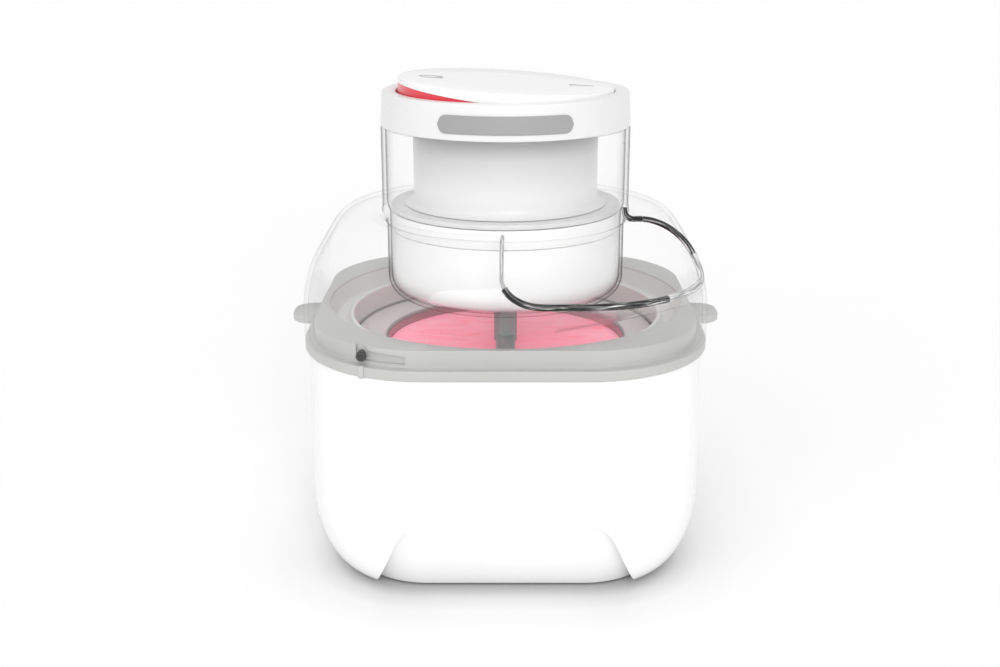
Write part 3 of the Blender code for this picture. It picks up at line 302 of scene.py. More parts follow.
def metal(name, first, second, roughness):
    """Drawn or turned metal with fine lines round its upright axis."""
    made, tree, shader = new_material(name)
    place = add(tree, "TexCoord")
    mapping = add(tree, "Mapping", {"Scale": (1.0, 1.0, 30.0)})
    noise = add(tree, "TexNoise", {"Scale": 60.0, "Detail": 5.0})
    colours = add_ramp(tree, (0.3, first), (0.7, second))
    finish = add_span(tree, 0.3, 0.7, min=roughness * 0.8, max=roughness * 1.25)
    wire(
        tree,
        (place, "Object", mapping, "Vector"),
        (mapping, "Vector", noise, "Vector"),
        (noise, "Fac", colours, "Fac"),
        (colours, "Color", shader, "Base Color"),
        (noise, "Fac", finish, "Value"),
        (finish, "Result", shader, "Roughness"),
    )
    set_inputs(shader, {"Metallic": 1.0})
    return made


def clear_plastic(name, levels):
    """Thin clear plastic: see-through face on, greyer and shinier where it turns away.

    The levels say how much it lets through at three slants and edge on.
    """
    made, tree, shader = new_material(name)
    tree.nodes.remove(shader)
    place = add(tree, "TexCoord")
    ripple = add(tree, "TexNoise", {"Scale": 26.0, "Detail": 1.0})
    bump = add(tree, "Bump", {"Strength": 0.25, "Distance": 0.0006})
    weight = add(tree, "LayerWeight", {"Blend": 0.5})
    slants = zip((0.62, 0.80, 0.92, 1.0), levels)
    tint = add_ramp(tree, (0.35, grey(0.998)), *((slant, grey(level)) for slant, level in slants))
    power = add(tree, "Math", {1: 5.0}, "POWER")
    share = add(tree, "Math", {1: 0.30, 2: 0.012}, "MULTIPLY_ADD")
    through = add(tree, "BsdfTransparent")
    gloss = add(tree, "BsdfGlossy", {"Roughness": 0.04, "Color": grey(0.92)})
    mix = add(tree, "MixShader")
    wire(
        tree,
        (place, "Object", ripple, "Vector"),
        (ripple, "Fac", bump, "Height"),
        (bump, "Normal", gloss, "Normal"),
        (weight, "Facing", tint, "Fac"),
        (tint, "Color", through, "Color"),
        (weight, "Facing", power, 0),
        (power, 0, share, 0),
        (share, 0, mix, 0),
        (through, 0, mix, 1),
        (gloss, 0, mix, 2),
        (mix, 0, tree.nodes["Material Output"], "Surface"),
    )
    return made


def edge_plastic_painted_reflections(name, tones):
    """The thick rim of the clear plastic, with painted reflections: glassy streaks that run along it, through
    the five tones.
    """
    made, tree, shader = new_material(name)
    place = add(tree, "TexCoord")
    mapping = add(tree, "Mapping", {"Scale": (0.9, 2.6, 1.0)})
    noise = add(tree, "TexNoise", {"Scale": 2.2, "Detail": 2.5, "Distortion": 0.5})
    places = zip((0.40, 0.50, 0.57, 0.62, 0.70), tones)
    ramp = add_ramp(tree, *((position, shade(tone)) for position, tone in places))
    wire(
        tree,
        (place, "UV", mapping, "Vector"),
        (mapping, "Vector", noise, "Vector"),
        (noise, "Fac", ramp, "Fac"),
        (ramp, "Color", shader, "Base Color"),
    )
    set_inputs(shader, {"Roughness": 0.12, "Specular IOR Level": 0.35})
    return made


def ice_cream():
    """Pink ice cream: pale and grainy, with redder fruit streaks, and a painted glow for the light that can't
    reach it under the lid and head.
    """
    made, tree, shader = new_material("ice_cream")
    place = add(tree, "TexCoord")
    mapping = add(tree, "Mapping", {"Scale": (0.7, 2.6, 1.0)})
    swirl = add(tree, "TexNoise", {"Scale": 34.0, "Detail": 5.0, "Distortion": 1.2})
    ramp = add_ramp(tree, (0.30, srgb(252, 190, 204)), (0.62, srgb(248, 160, 180)), (0.76, srgb(236, 60, 72)))
    grain = add(tree, "TexNoise", {"Scale": 620.0, "Detail": 4.0})
    bump = add(tree, "Bump", {"Strength": 0.55, "Distance": 0.0008})
    wire(
        tree,
        (place, "Object", mapping, "Vector"),
        (mapping, "Vector", swirl, "Vector"),
        (swirl, "Fac", ramp, "Fac"),
        (ramp, "Color", shader, "Base Color"),
        (place, "Object", grain, "Vector"),
        (grain, "Fac", bump, "Height"),
        (bump, "Normal", shader, "Normal"),
    )
    # painted light: a pink glow stands in for the light the ice cream lacks under the lid and head
    set_inputs(shader, {"Emission Color": srgb(246, 150, 168), "Emission Strength": 0.34})
    set_inputs(shader, {"Roughness": 0.55, "Subsurface Weight": 0.25, "Subsurface Scale": 0.004})
    return made


WHITE = plastic("white_plastic", shade(247), shade(250), 0.24, coat=0.15)
COLLAR_GREY = plastic("collar_grey", srgb(188, 188, 186), srgb(192, 192, 190), 0.38)
CUP_GREY = plastic("cup_flange_grey", srgb(214, 214, 212), srgb(218, 218, 216), 0.40)
WELL_GREY_PAINTED_GLOW = well_plastic_painted_glow()
HEAD_WHITE = plastic("head_white", shade(232), shade(235), 0.30)
DISC_GREY = plastic("disc_grey", shade(222), shade(226), 0.30)
TOWER_WHITE_PAINTED_SHADE = tower_plastic_painted_shade()
BADGE_GREY = plastic("badge_grey", shade(158), shade(163), 0.35)
PADDLE_GREY = plastic("paddle_grey", srgb(152, 178, 174), srgb(158, 184, 180), 0.42)
MARK_GREY = plastic("mark_grey", shade(176), shade(182), 0.40)
DARK = plastic("dark_plastic", shade(52), shade(60), 0.32)
BLACK = plastic("black_plastic", shade(22), shade(28), 0.40)
RED = plastic("red_plastic", srgb(232, 52, 70), srgb(238, 58, 76), 0.24, coat=0.3)
RUBBER = plastic("foot_rubber", shade(46), shade(54), 0.80, 1400.0, 0.25)
SEAL = plastic("seal_rubber", srgb(206, 206, 204), srgb(212, 212, 210), 0.60, 1400.0, 0.20)
GEL = plastic("coolant_gel", srgb(150, 186, 214), srgb(166, 198, 222), 0.50, 300.0, 0.20)
NYLON = plastic("gear_nylon", srgb(232, 230, 220), srgb(238, 236, 227), 0.50)
BOARD = plastic("board_green", srgb(18, 92, 50), srgb(24, 104, 58), 0.45)
ALUMINIUM = metal("cup_aluminium", srgb(176, 174, 173), srgb(190, 188, 187), 0.38)
STEEL = metal("plain_steel", srgb(168, 168, 170), srgb(186, 186, 188), 0.34)
BRONZE = metal("bush_bronze", srgb(176, 138, 84), srgb(196, 156, 98), 0.42)
CLEAR = clear_plastic("clear_plastic", (1.0, 0.998, 0.97, 0.68))
CLEAR_NECK = clear_plastic("clear_plastic_neck", (0.988, 0.90, 0.50, 0.05))
CLEAR_POT = clear_plastic("clear_plastic_pot", (0.990, 0.90, 0.34, 0.01))
# painted reflections for the fill opening's clear rim: mostly dark streaks, and mostly pale ones
DARK_EDGE_REFLECTIONS = edge_plastic_painted_reflections("clear_edge_dark_reflections", (20, 44, 110, 190, 240))
PALE_EDGE_REFLECTIONS = edge_plastic_painted_reflections("clear_edge_pale_reflections", (150, 196, 222, 236, 248))
ICE_PAINTED_GLOW = ice_cream()

NODE_LOOKS = {
    "coolant_fill": GEL, "bowl_seal": SEAL, "gear_plate": STEEL, "motor": STEEL, "idler_pin": STEEL,
    "shaft_bush": BRONZE, "circuit_board": BOARD, "switch_body": BLACK, "rocker_pin": STEEL,
    "output_shaft": STEEL, "output_gear": NYLON, "idler_gear": NYLON, "drive_pinion": NYLON,
    "motor_shaft": STEEL, "power_inlet": DARK,
}


def look_for(node):
    """A CAD node's finish. Those not listed are white, or have their own piece below."""
    if node.startswith("foot_"):
        return RUBBER
    return STEEL if "screw" in node else NODE_LOOKS.get(node, WHITE)


def dress_nodes():
    for name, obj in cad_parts.items():
        obj.data.materials.clear()
        obj.data.materials.append(look_for(name))


# ---------------------------------------------------------------- mesh tools
def object_of(name, mesh):
    obj = bpy.data.objects.new(name, mesh)
    bpy.context.scene.collection.objects.link(obj)
    return obj


def mesh_of(name, builder):
    bmesh.ops.recalc_face_normals(builder, faces=builder.faces)
    mesh = bpy.data.meshes.new(name)
    builder.to_mesh(mesh)
    builder.free()
    return mesh


def place_piece(name, builder, finishes, body, nodes=(), sharp=40.0):
    """Turns the bmesh into a piece that rides on a body and stands for some CAD nodes."""
    place_mesh(name, mesh_of(name, builder), finishes, body, nodes, sharp)


def place_mesh(name, mesh, finishes, body, nodes=(), sharp=40.0):
    for finish in finishes:
        if finish.name not in mesh.materials:
            mesh.materials.append(finish)
    mesh.shade_smooth()
    mesh.set_sharp_from_angle(angle=math.radians(sharp))
    obj = object_of(name, mesh)
    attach(obj, body)
    if nodes:
        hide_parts(*nodes)


def helper(name, builder, finish=None):
    """A solid that combined() uses up."""
    mesh = mesh_of(name, builder)
    if finish:
        mesh.materials.append(finish)
    return object_of(name, mesh)


def polar(radius, degrees, z):
    turn = math.radians(degrees)
    return Vector((radius * math.cos(turn), radius * math.sin(turn), z))


def bridge(mesh, loops, closed):
    """Joins rings of the same number of points with faces."""
    pairs = list(zip(loops, loops[1:]))
    if closed:
        pairs.append((loops[-1], loops[0]))
    for before, after in pairs:
        for step in range(len(before)):
            other = (step + 1) % len(before)
            mesh.faces.new((before[step], before[other], after[other], after[step]))


def cap_ends(mesh, loops):
    mesh.faces.new(loops[0])
    mesh.faces.new(loops[-1])


def solid_through(rows):
    """A bmesh through rows of points, with flat ends."""
    mesh = bmesh.new()
    loops = [[mesh.verts.new(point) for point in row] for row in rows]
    bridge(mesh, loops, False)
    cap_ends(mesh, loops)
    return mesh


def outline_distance(half, corner, angle):
    """From the middle of a square with round corners to its edge, in the direction of the angle."""
    across = abs(math.cos(angle))
    along = abs(math.sin(angle))
    long_side = max(across, along)
    short_side = min(across, along)
    centre = half - corner
    if short_side / long_side * half <= centre:
        return half / long_side
    reach = centre * (across + along)
    return reach + math.sqrt(reach * reach - 2 * centre * centre + corner * corner)


def outline(half, corner, count):
    points = []
    for step in range(count):
        angle = 2 * math.pi * (step + 0.5) / count
        distance = outline_distance(half, corner, angle)
        points.append((distance * math.cos(angle), distance * math.sin(angle)))
    return points


def loft_mesh(sections, count=SIDES):
    """A closed bmesh through outlines (half, corner, z). First and last of half 0 mean flat ends."""
    mesh = bmesh.new()
    capped = sections[0][0] == 0
    rings = []
    for half, corner, z in sections[1:-1] if capped else sections:
        rings.append([mesh.verts.new((x, y, z)) for x, y in outline(half, corner, count)])
    if capped:
        cap_ends(mesh, rings)
    bridge(mesh, rings, not capped)
    return mesh


def turned_mesh(profile, count=SIDES):
    return loft_mesh([(radius, radius, z) for radius, z in profile], count)


def arc(centre_r, centre_z, wide, deep, start, end, steps):
    points = []
    for step in range(steps + 1):
        angle = math.radians(start + (end - start) * step / steps)
        points.append((centre_r + wide * math.cos(angle), centre_z + deep * math.sin(angle)))
    return points


def rounded(points, radius, steps=4):
    """The open list of points with each inner corner turned into a small curve."""
    out = [points[0]]
    for before, corner, after in zip(points, points[1:], points[2:]):
        here = Vector(corner)
        back = Vector(before) - here
        ahead = Vector(after) - here
        reach = min(radius, back.length * 0.45, ahead.length * 0.45)
        start = here + back.normalized() * reach
        end = here + ahead.normalized() * reach
        for step in range(steps + 1):
            share = step / steps
            spot = start * (1 - share) ** 2 + here * 2 * share * (1 - share) + end * share**2
            out.append(tuple(spot))
    out.append(points[-1])
    return out


def ring_profile(points, radius, steps=4):
    """A closed list of points with every corner curved."""
    closed = rounded([points[-1], *points, points[0]], radius, steps)
    return closed[1:-1]


def box_mesh(lower, upper, bevel=0.0):
    mesh = bmesh.new()
    size = Vector(upper) - Vector(lower)
    middle = (Vector(upper) + Vector(lower)) / 2
    bmesh.ops.create_cube(mesh, size=1, matrix=Matrix.Translation(middle) @ Matrix.Diagonal((*size, 1)))
    if bevel:
        bmesh.ops.bevel(mesh, geom=mesh.edges, offset=bevel, segments=3, affect="EDGES", profile=0.5)
    return mesh


def combined(base, cuts=(), joins=()):
    """The mesh of base less each cut and then with each join. The objects used are removed."""
    for other in [*cuts, *joins]:
        modifier = base.modifiers.new(other.name, "BOOLEAN")
        modifier.operation = "DIFFERENCE" if other in cuts else "UNION"
        modifier.solver = "EXACT"
        modifier.object = other
        if other.data.materials:
            modifier.material_mode = "TRANSFER"
    bpy.context.view_layer.update()
    graph = bpy.context.evaluated_depsgraph_get()
    mesh = bpy.data.meshes.new_from_object(base.evaluated_get(graph), depsgraph=graph)
    for obj in [base, *cuts, *joins]:
        bpy.data.objects.remove(obj)
    return mesh


# ---------------------------------------------------------------- base
def body_half_at(z):
    if z >= BODY_BULGE_Z:
        share = (z - BODY_BULGE_Z) / (BODY_TOP - BODY_BULGE_Z)
        return BODY_HALF + (BODY_TOP_HALF - BODY_HALF) * share
    if z >= BODY_FILLET_HIGH:
        return BODY_HALF
    down = (BODY_FILLET_HIGH - z) / BODY_FILLET_HIGH
    return BODY_HALF - BODY_FILLET_WIDE * (1 - math.sqrt(1 - down * down))


def body_section(half, inset, z):
    return (half - inset, half - inset - BODY_CORNER_CENTRE, z)


def recess_outline(grow):
    """The finger recess seen from the front."""
    lean = (RECESS_FOOT_HALF - RECESS_TOP_HALF) / RECESS_TOP
    top = RECESS_TOP + grow
    corner = RECESS_TOP_HALF + grow
    bottom = -0.012
    side = [(corner + lean * (top - bottom), bottom), (corner, top), (0.0, top + 0.0002)]
    right = rounded(side, RECESS_CORNER * 1.7, 10)
    left = [(-x, z) for x, z in reversed(right[:-1])]
    return right + left


def body_solid(name, inset, top):
    """The housing's outside, moved in by the inset, with its finger recesses front and back."""
    bottom = -0.006
    heights = [bottom, *[0.001 + 0.039 * (step / 20) ** 1.6 for step in range(20)]]
    heights += [BODY_FILLET_HIGH, BODY_BULGE_Z, 0.08, BODY_TOP - 0.0006, BODY_TOP]
    sections = [body_section(body_half_at(max(z, BODY_LOW)), inset, z) for z in heights]
    if not inset:
        sections[-1] = (sections[-1][0] - 0.0006, sections[-1][1] - 0.0006, BODY_TOP)
    if top > BODY_TOP:
        sections.append(body_section(BODY_TOP_HALF, inset, top))
    solid = helper(name, loft_mesh([(0, 0, 0), *sections, (0, 0, 0)]))
    foot_half = body_half_at(BODY_LOW) - RECESS_DEPTH_FOOT
    face_top = body_half_at(RECESS_TOP) - RECESS_DEPTH_TOP
    core = [(face_top, RECESS_TOP + 0.004), (face_top, RECESS_TOP)]
    for step in range(1, 9):
        share = step / 8
        bulge = 0.0012 * math.sin(math.pi * share)
        half = face_top + (foot_half - face_top) * share + bulge
        core.append((half, RECESS_TOP + (BODY_LOW - RECESS_TOP) * share))
    core.append((foot_half, bottom + 0.001))
    core_sections = [body_section(half, inset, z) for half, z in core]
    core_solid = helper(name + "_core", loft_mesh([(0, 0, 0), *core_sections, (0, 0, 0)]))
    recesses = []
    for end, side in (("_front", -1), ("_back", 1)):
        rows = [[(x, side * y, z) for x, z in recess_outline(inset)] for y in (0.05, 0.15)]
        recesses.append(helper(name + end, solid_through(rows)))
    return combined(solid, recesses, [core_solid])


def make_housing():
    shell = object_of("housing_solid", body_solid("housing_outer", 0.0, BODY_TOP))
    cavity = object_of("housing_cavity", body_solid("housing_inner", BODY_WALL, BODY_TOP + 0.003))
    trim = helper("housing_trim", box_mesh((-0.1, -0.1, -0.02), (0.1, 0.1, BODY_LOW)))
    mesh = combined(shell, [cavity, trim])
    place_mesh("housing_shell", mesh, [WHITE], "base", ["outer_housing"], 24.0)


# ---------------------------------------------------------------- freezer bowl
def make_collar():
    platform_corner = COLLAR_CORNER - (COLLAR_HALF - PLATFORM_HALF)
    rim_half = BODY_TOP_HALF - BODY_WALL - 0.0005
    rim_corner = rim_half - BODY_CORNER_CENTRE
    outer = [
        (PLATFORM_HALF, platform_corner, PLATFORM_TOP),
        (PLATFORM_HALF, platform_corner, FLANGE_TOP),
        (COLLAR_HALF, COLLAR_CORNER, FLANGE_TOP),
        (COLLAR_HALF, COLLAR_CORNER, COLLAR_LOW),
        (rim_half, rim_corner, COLLAR_LOW),
        (rim_half, rim_corner, COLLAR_LOW - 0.0070),
        (rim_half - 0.0020, rim_corner - 0.0020, COLLAR_LOW - 0.0070),
        (rim_half - 0.0020, rim_corner - 0.0020, COLLAR_LOW + 0.0006),
    ]
    round_part = [
        (LEDGE_RADIUS - 0.0005, LEDGE_Z - 0.0028),
        (LIP_RADIUS + 0.0020, LEDGE_Z - 0.0028),
        (LIP_RADIUS + 0.0014, WELL_BOTTOM),
        (LIP_RADIUS - 0.0008, WELL_BOTTOM),
        (LIP_RADIUS - 0.0004, LIP_Z),
        (LIP_RADIUS + 0.0014, LIP_Z),
        (LIP_RADIUS + 0.0026, LEDGE_Z),
        (LEDGE_RADIUS, LEDGE_Z),
        (MOUTH_RADIUS, PLATFORM_TOP),
    ]
    outer += [(radius, radius, z) for radius, z in round_part]
    collar = helper("collar_solid", loft_mesh(ring_profile(outer, 0.0008, 3)))
    channels = [helper(name, mesh) for name, mesh in stud_channels()]
    ears = [helper("ear_" + name, ear_mesh(side)) for name, side in (("left", -1), ("right", 1))]
    mesh = combined(collar, channels, ears)
    lower = (-STUD_X - 0.0012, -0.0868, COLLAR_LOW - 0.0006)
    upper = (-STUD_X + 0.0012, -0.0845, FLANGE_TOP + 0.0006)
    rib = box_mesh(lower, upper, 0.0005)
    place_piece("flange_rib", rib, [COLLAR_GREY], "bowl")
    # faces inside the well take the second finish, the grey with the painted glow
    for polygon in mesh.polygons:
        middle = polygon.center
        if math.hypot(middle.x, middle.y) < MOUTH_RADIUS + 0.0004 and middle.z < PLATFORM_TOP - 0.0006:
            polygon.material_index = 1
    place_mesh("collar", mesh, [COLLAR_GREY, WELL_GREY_PAINTED_GLOW], "bowl", ["bowl_collar"], 45.0)


def ear_mesh(side):
    """A carrying ear: a flat tab with round outer corners."""
    points = [(PLATFORM_HALF - 0.0010, -EAR_HALF)]
    for centre_y, start in ((EAR_CORNER - EAR_HALF, -90), (EAR_HALF - EAR_CORNER, 0)):
        points += arc(EAR_REACH - EAR_CORNER, centre_y, EAR_CORNER, EAR_CORNER, start, start + 90, 8)
    points.append((PLATFORM_HALF - 0.0010, EAR_HALF))
    edge = 0.0006
    rows = []
    for inset, z in ((edge, EAR_LOW), (0, EAR_LOW + edge), (0, EAR_HIGH - edge), (edge, EAR_HIGH)):
        scale = 1 - inset / EAR_HALF
        rows.append([(side * (x - inset), y * scale, z) for x, y in points])
    return solid_through(rows)


def platform_front(x):
    """How far forward the collar's raised platform reaches at a distance from the middle."""
    centre = COLLAR_HALF - COLLAR_CORNER
    corner = PLATFORM_HALF - centre
    over = max(0.0, abs(x) - centre)
    return centre + math.sqrt(corner * corner - over * over)


def stud_channels():
    """Cutters for the bayonet slots that the lid's studs drop into and turn along."""
    floor = 0.1130
    near, far = 0.0014, -0.0040
    cutters = []
    for side, name in ((-1, "front"), (1, "back")):
        for part, start, end, top, slope in (
            ("entry", -STUD_X - 0.0026, -STUD_X + 0.0026, 0.1300, 0),
            ("ramp", -STUD_X, -STUD_X + 0.0190, 0.1176, 0.0010),
        ):
            rows = []
            for step in range(9):
                x = start + (end - start) * step / 8
                wall = platform_front(x)
                roof = top - slope * step / 8
                corners = ((near, floor), (far, floor), (far, roof), (near, roof))
                rows.append([(-side * x, side * (wall - depth), z) for depth, z in corners])
            cutters.append((part + "_" + name, solid_through(rows)))
    return cutters


def make_studs():
    """The lid's two dark studs, each a round pin with a small ring round its end."""
    for side, name in ((-1, "front"), (1, "back")):
        pin = [(0, 0), (0.0019, 0), (0.0019, 0.0036), (0.0023, 0.0038), (0.0023, 0.0046)]
        end = [(0.0020, 0.0050), (0.0012, 0.0050), (0.0009, 0.0046), (0, 0)]
        mesh = turned_mesh(pin + end, SMALL_SIDES)
        turn = Matrix.Rotation(math.pi / 2 * -side, 4, "X")
        spot = Matrix.Translation((side * STUD_X, side * STUD_ROOT, STUD_Z))
        mesh.transform(spot @ turn)
        place_piece("stud_" + name, mesh, [DARK], "lid", ["latch_stud_" + name], 40.0)


def cup_profile(offset, top):
    fillet = CUP_FILLET + offset
    curve = arc(CUP_RADIUS - CUP_FILLET, CUP_FLOOR + CUP_FILLET, fillet, fillet, -90, 0, 10)
    return [(0, CUP_FLOOR - offset), *curve, (CUP_RADIUS + offset, top)]


def make_cup():
    flange = rounded(
        [
            (CUP_RADIUS + CUP_WALL, CUP_RIM_Z - 0.0040),
            (CUP_RIM_RADIUS + 0.0012, CUP_RIM_Z - CUP_WALL),
            (CUP_EDGE, CUP_FLANGE_Z - CUP_WALL),
            (CUP_EDGE, CUP_FLANGE_Z),
            (CUP_RIM_RADIUS + 0.0026, CUP_RIM_Z + 0.0002),
            (CUP_RIM_RADIUS, CUP_RIM_Z),
            (CUP_RADIUS + 0.0002, CUP_RIM_Z - 0.0014),
            (CUP_RADIUS, CUP_RIM_Z - 0.0050),
        ],
        0.0008,
        3,
    )
    outside = cup_profile(CUP_WALL, CUP_RIM_Z - 0.0050)
    inside = list(reversed(cup_profile(0.0, CUP_RIM_Z - 0.0060)))
    mesh = turned_mesh(outside + flange + inside)
    for face in mesh.faces:
        middle = face.calc_center_median()
        if math.hypot(middle.x, middle.y) > CUP_RIM_RADIUS - 0.0006:
            face.material_index = 1
    finishes = [ALUMINIUM, CUP_GREY]
    place_piece("freezer_cup", mesh, finishes, "bowl", ["bowl_inner_cup"], 50.0)


def make_shell():
    """The bowl's double-walled outside, with a generous round turn into its flat bottom."""
    radius = high("bowl_outer_shell").y
    top = high("bowl_outer_shell").z
    bottom = low("bowl_outer_shell").z
    turn = (radius - SHELL_FILLET_WIDE, bottom + SHELL_FILLET_HIGH, SHELL_FILLET_WIDE, SHELL_FILLET_HIGH)
    curve = arc(*turn, -90, 0, 12)
    inside = [(reach - SHELL_WALL, z + SHELL_WALL) for reach, z in reversed(curve)]
    profile = [(0, bottom), *curve, (radius, top), (radius - SHELL_WALL, top)]
    profile += [*inside, (0, bottom + SHELL_WALL)]
    shell = turned_mesh(profile)
    place_piece("bowl_shell", shell, [DISC_GREY], "bowl", ["bowl_outer_shell"], 50.0)


def wave(x, y, table):
    """A gentle lumpy height from a few crossed waves."""
    return sum(size * math.sin(kx * x + ky * y + phase) for size, kx, ky, phase in table)


# height, the two directions' rates, and phase of each wave
ICE_WAVES = (
    (0.0005, 90, 40, 0.3),
    (0.0004, -60, 120, 1.9),
    (0.0003, 210, -90, 4.0),
    (0.00015, 380, 310, 2.2),
)


def make_ice_cream():
    """The frozen mix that fills the bowl up to below its rim; only its top shows."""
    mesh = bmesh.new()
    radius = CUP_RADIUS - 0.0002
    rings = []
    steps = 40
    for step in range(1, steps + 1):
        reach = radius * step / steps
        ring = []
        for x, y in outline(reach, reach, 144):
            near_wall = max(0.0, (step / steps - 0.9) / 0.1)
            rise = wave(x, y, ICE_WAVES) * (1 - near_wall) + 0.0006 * near_wall
            ring.append(mesh.verts.new((x, y, ICE_Z + rise)))
        rings.append(ring)
    centre = mesh.verts.new((0, 0, ICE_Z + wave(0, 0, ICE_WAVES)))
    bottom = [mesh.verts.new((vert.co.x, vert.co.y, ICE_Z - ICE_DEEP)) for vert in rings[-1]]
    count = len(bottom)
    for step in range(count):
        other = (step + 1) % count
        mesh.faces.new((centre, rings[0][step], rings[0][other]))
        for before, after in zip(rings, rings[1:] + [bottom]):
            mesh.faces.new((before[step], after[step], after[other], before[other]))
    mesh.faces.new(bottom)
    place_piece("ice_cream_top", mesh, [ICE_PAINTED_GLOW], "bowl", sharp=60.0)


def make_paddle():
    """The mixing paddle: a slim hub on a flat arm, with a blade down each wall and a scraper on the floor."""
    hub_top = high("paddle").z
    reach = high("paddle").y
    base = low("paddle").z
    neat = HUB_RADIUS - 0.0006
    foot = [(0, 0), (neat, ARM_LOW - 0.0006), (HUB_RADIUS, ARM_LOW)]
    profile = foot + [(HUB_RADIUS, hub_top - 0.003), (neat, hub_top), (0, 0)]
    hub = helper("hub", turned_mesh(profile, SMALL_SIDES), PADDLE_GREY)
    arm = box_mesh((-ARM_HALF, 0.002 - reach, ARM_LOW), (ARM_HALF, reach - 0.002, ARM_HIGH), 0.0011)
    parts = [helper("arm", arm)]
    for name, side in (("front", -1), ("back", 1)):
        ends = sorted((side * reach, side * (reach - BLADE_WIDE)))
        lower = (-BLADE_HALF, ends[0], base + 0.006)
        blade = box_mesh(lower, (BLADE_HALF, ends[1], ARM_HIGH - 0.001), 0.0006)
        parts.append(helper("blade_" + name, blade))
    scraper = box_mesh((-BLADE_HALF, -0.048, base), (BLADE_HALF, 0.048, base + 0.008), 0.0006)
    parts.append(helper("scraper", scraper))
    mesh = combined(hub, joins=parts)
    place_mesh("paddle_body", mesh, [PADDLE_GREY], "paddle", ["paddle"], 35.0)


# ---------------------------------------------------------------- lid
def dome_sections(offset, steps):
    """The dome from its widest outline to its round top, moved in by the offset."""
    sections = []
    wide = COLLAR_HALF - DOME_TOP_RADIUS
    tall = DOME_TOP - DOME_START
    for step in range(steps + 1):
        angle = math.pi / 2 * step / steps
        half = DOME_TOP_RADIUS + (wide - offset) * math.cos(angle)
        z = DOME_START + (tall - offset) * math.sin(angle)
        share = step / steps
        centre = (COLLAR_HALF - COLLAR_CORNER) * (1 - share * share)
        sections.append((half, half - centre, z))
    return sections


def fill_edge(steps):
    """The fill opening's rim as (angle in degrees, height) points."""
    edge = []
    for step in range(steps + 1):
        turn = math.pi / 2 * step / steps
        angle = FILL_START + FILL_CORNER_WIDE * (1 - math.cos(turn))
        edge.append((angle, FILL_RIM + FILL_CORNER_HIGH * (1 - math.sin(turn))))
    angle = edge[-1][0] + 2.5
    while angle < FILL_END - 8:
        edge.append((angle, FILL_RIM))
        angle += 2.5
    for step in range(steps + 1):
        turn = math.pi / 2 * step / steps
        edge.append((FILL_END - 7 * (1 - math.sin(turn)), FILL_RIM + 0.009 * (1 - math.cos(turn))))
    return edge


def fill_cutter():
    inner = NECK_RADIUS + 0.0004
    outer = 0.14
    top = DOME_TOP + 0.006
    rows = []
    for angle, z in fill_edge(12):
        corners = ((inner, z), (outer, z), (outer, top), (inner, top))
        rows.append([polar(radius, angle, level) for radius, level in corners])
    mesh = solid_through(rows)
    bmesh.ops.triangulate(mesh, faces=mesh.faces)
    return helper("fill_cutter", mesh, CLEAR)


def make_lid():
    neck_in = NECK_RADIUS - NECK_WALL
    pot_in = POT_RADIUS - POT_WALL
    pot_floor = POT_LOW + POT_WALL + 0.0003
    shoulder = [(DOME_TOP_RADIUS, DOME_TOP), (0.0625, DOME_TOP - 0.0004), (0.0600, NECK_ROOT + 0.0014)]
    shoulder += [(NECK_RADIUS + 0.0003, NECK_ROOT + 0.0014), (NECK_RADIUS, NECK_ROOT + 0.0050)]
    shoulder += [(NECK_RADIUS, NECK_TOP), (neck_in, NECK_TOP)]
    shoulder += [(neck_in, NECK_ROOT + 0.0050), (pot_in, NECK_ROOT + 0.0020), (pot_in, POT_LOW + 0.02)]
    shoulder = rounded(shoulder, 0.0016, 4)
    fillet = POT_FILLET - POT_WALL
    pot = arc(pot_in - fillet, pot_floor + fillet, fillet, fillet, 0, -90, 10)
    pot += [(POT_HOLE, pot_floor), (POT_HOLE, POT_LOW)]
    pot += arc(POT_RADIUS - POT_FILLET, POT_LOW + POT_FILLET, POT_FILLET, POT_FILLET, -90, 0, 10)
    root = rounded(
        [
            (POT_RADIUS, NECK_ROOT - 0.0200),
            (POT_RADIUS, NECK_ROOT - 0.0020),
            (SHOULDER_RADIUS, NECK_ROOT - 0.0006),
            (DOME_TOP_RADIUS, DOME_TOP - LID_WALL),
        ],
        0.0020,
        4,
    )
    outer = [(COLLAR_HALF, COLLAR_CORNER, LID_LOW), *dome_sections(0.0, 24)]
    inner = list(reversed(dome_sections(LID_WALL, 24)))
    skirt_in = (COLLAR_HALF - LID_WALL, COLLAR_CORNER - LID_WALL, LID_LOW)
    middle = [(radius, radius, z) for radius, z in shoulder[1:] + pot + root[:-1]]
    lid = helper("lid_solid", loft_mesh(outer + middle + inner + [skirt_in]), CLEAR)
    cuts = [fill_cutter()]
    for name, side in (("left", -1), ("right", 1)):
        half = EAR_HALF + 0.0005
        near, far = sorted((side * (PLATFORM_HALF - 0.0080), side * (EAR_REACH + 0.0067)))
        lower = (near, -half, LID_LOW - 0.002)
        upper = (far, half, EAR_HIGH + 0.0003)
        cuts.append(helper("notch_" + name, box_mesh(lower, upper), CLEAR))
    mesh = combined(lid, cuts)
    first = len(mesh.materials)
    mesh.materials.append(CLEAR_POT)
    mesh.materials.append(CLEAR_NECK)
    for polygon in mesh.polygons:
        middle = polygon.center
        if math.hypot(middle.x, middle.y) < NECK_RADIUS + 0.0006:
            polygon.material_index = first if middle.z < NECK_ROOT else first + 1
    place_mesh("clear_lid", mesh, [CLEAR], "lid", ["lid"], 40.0)


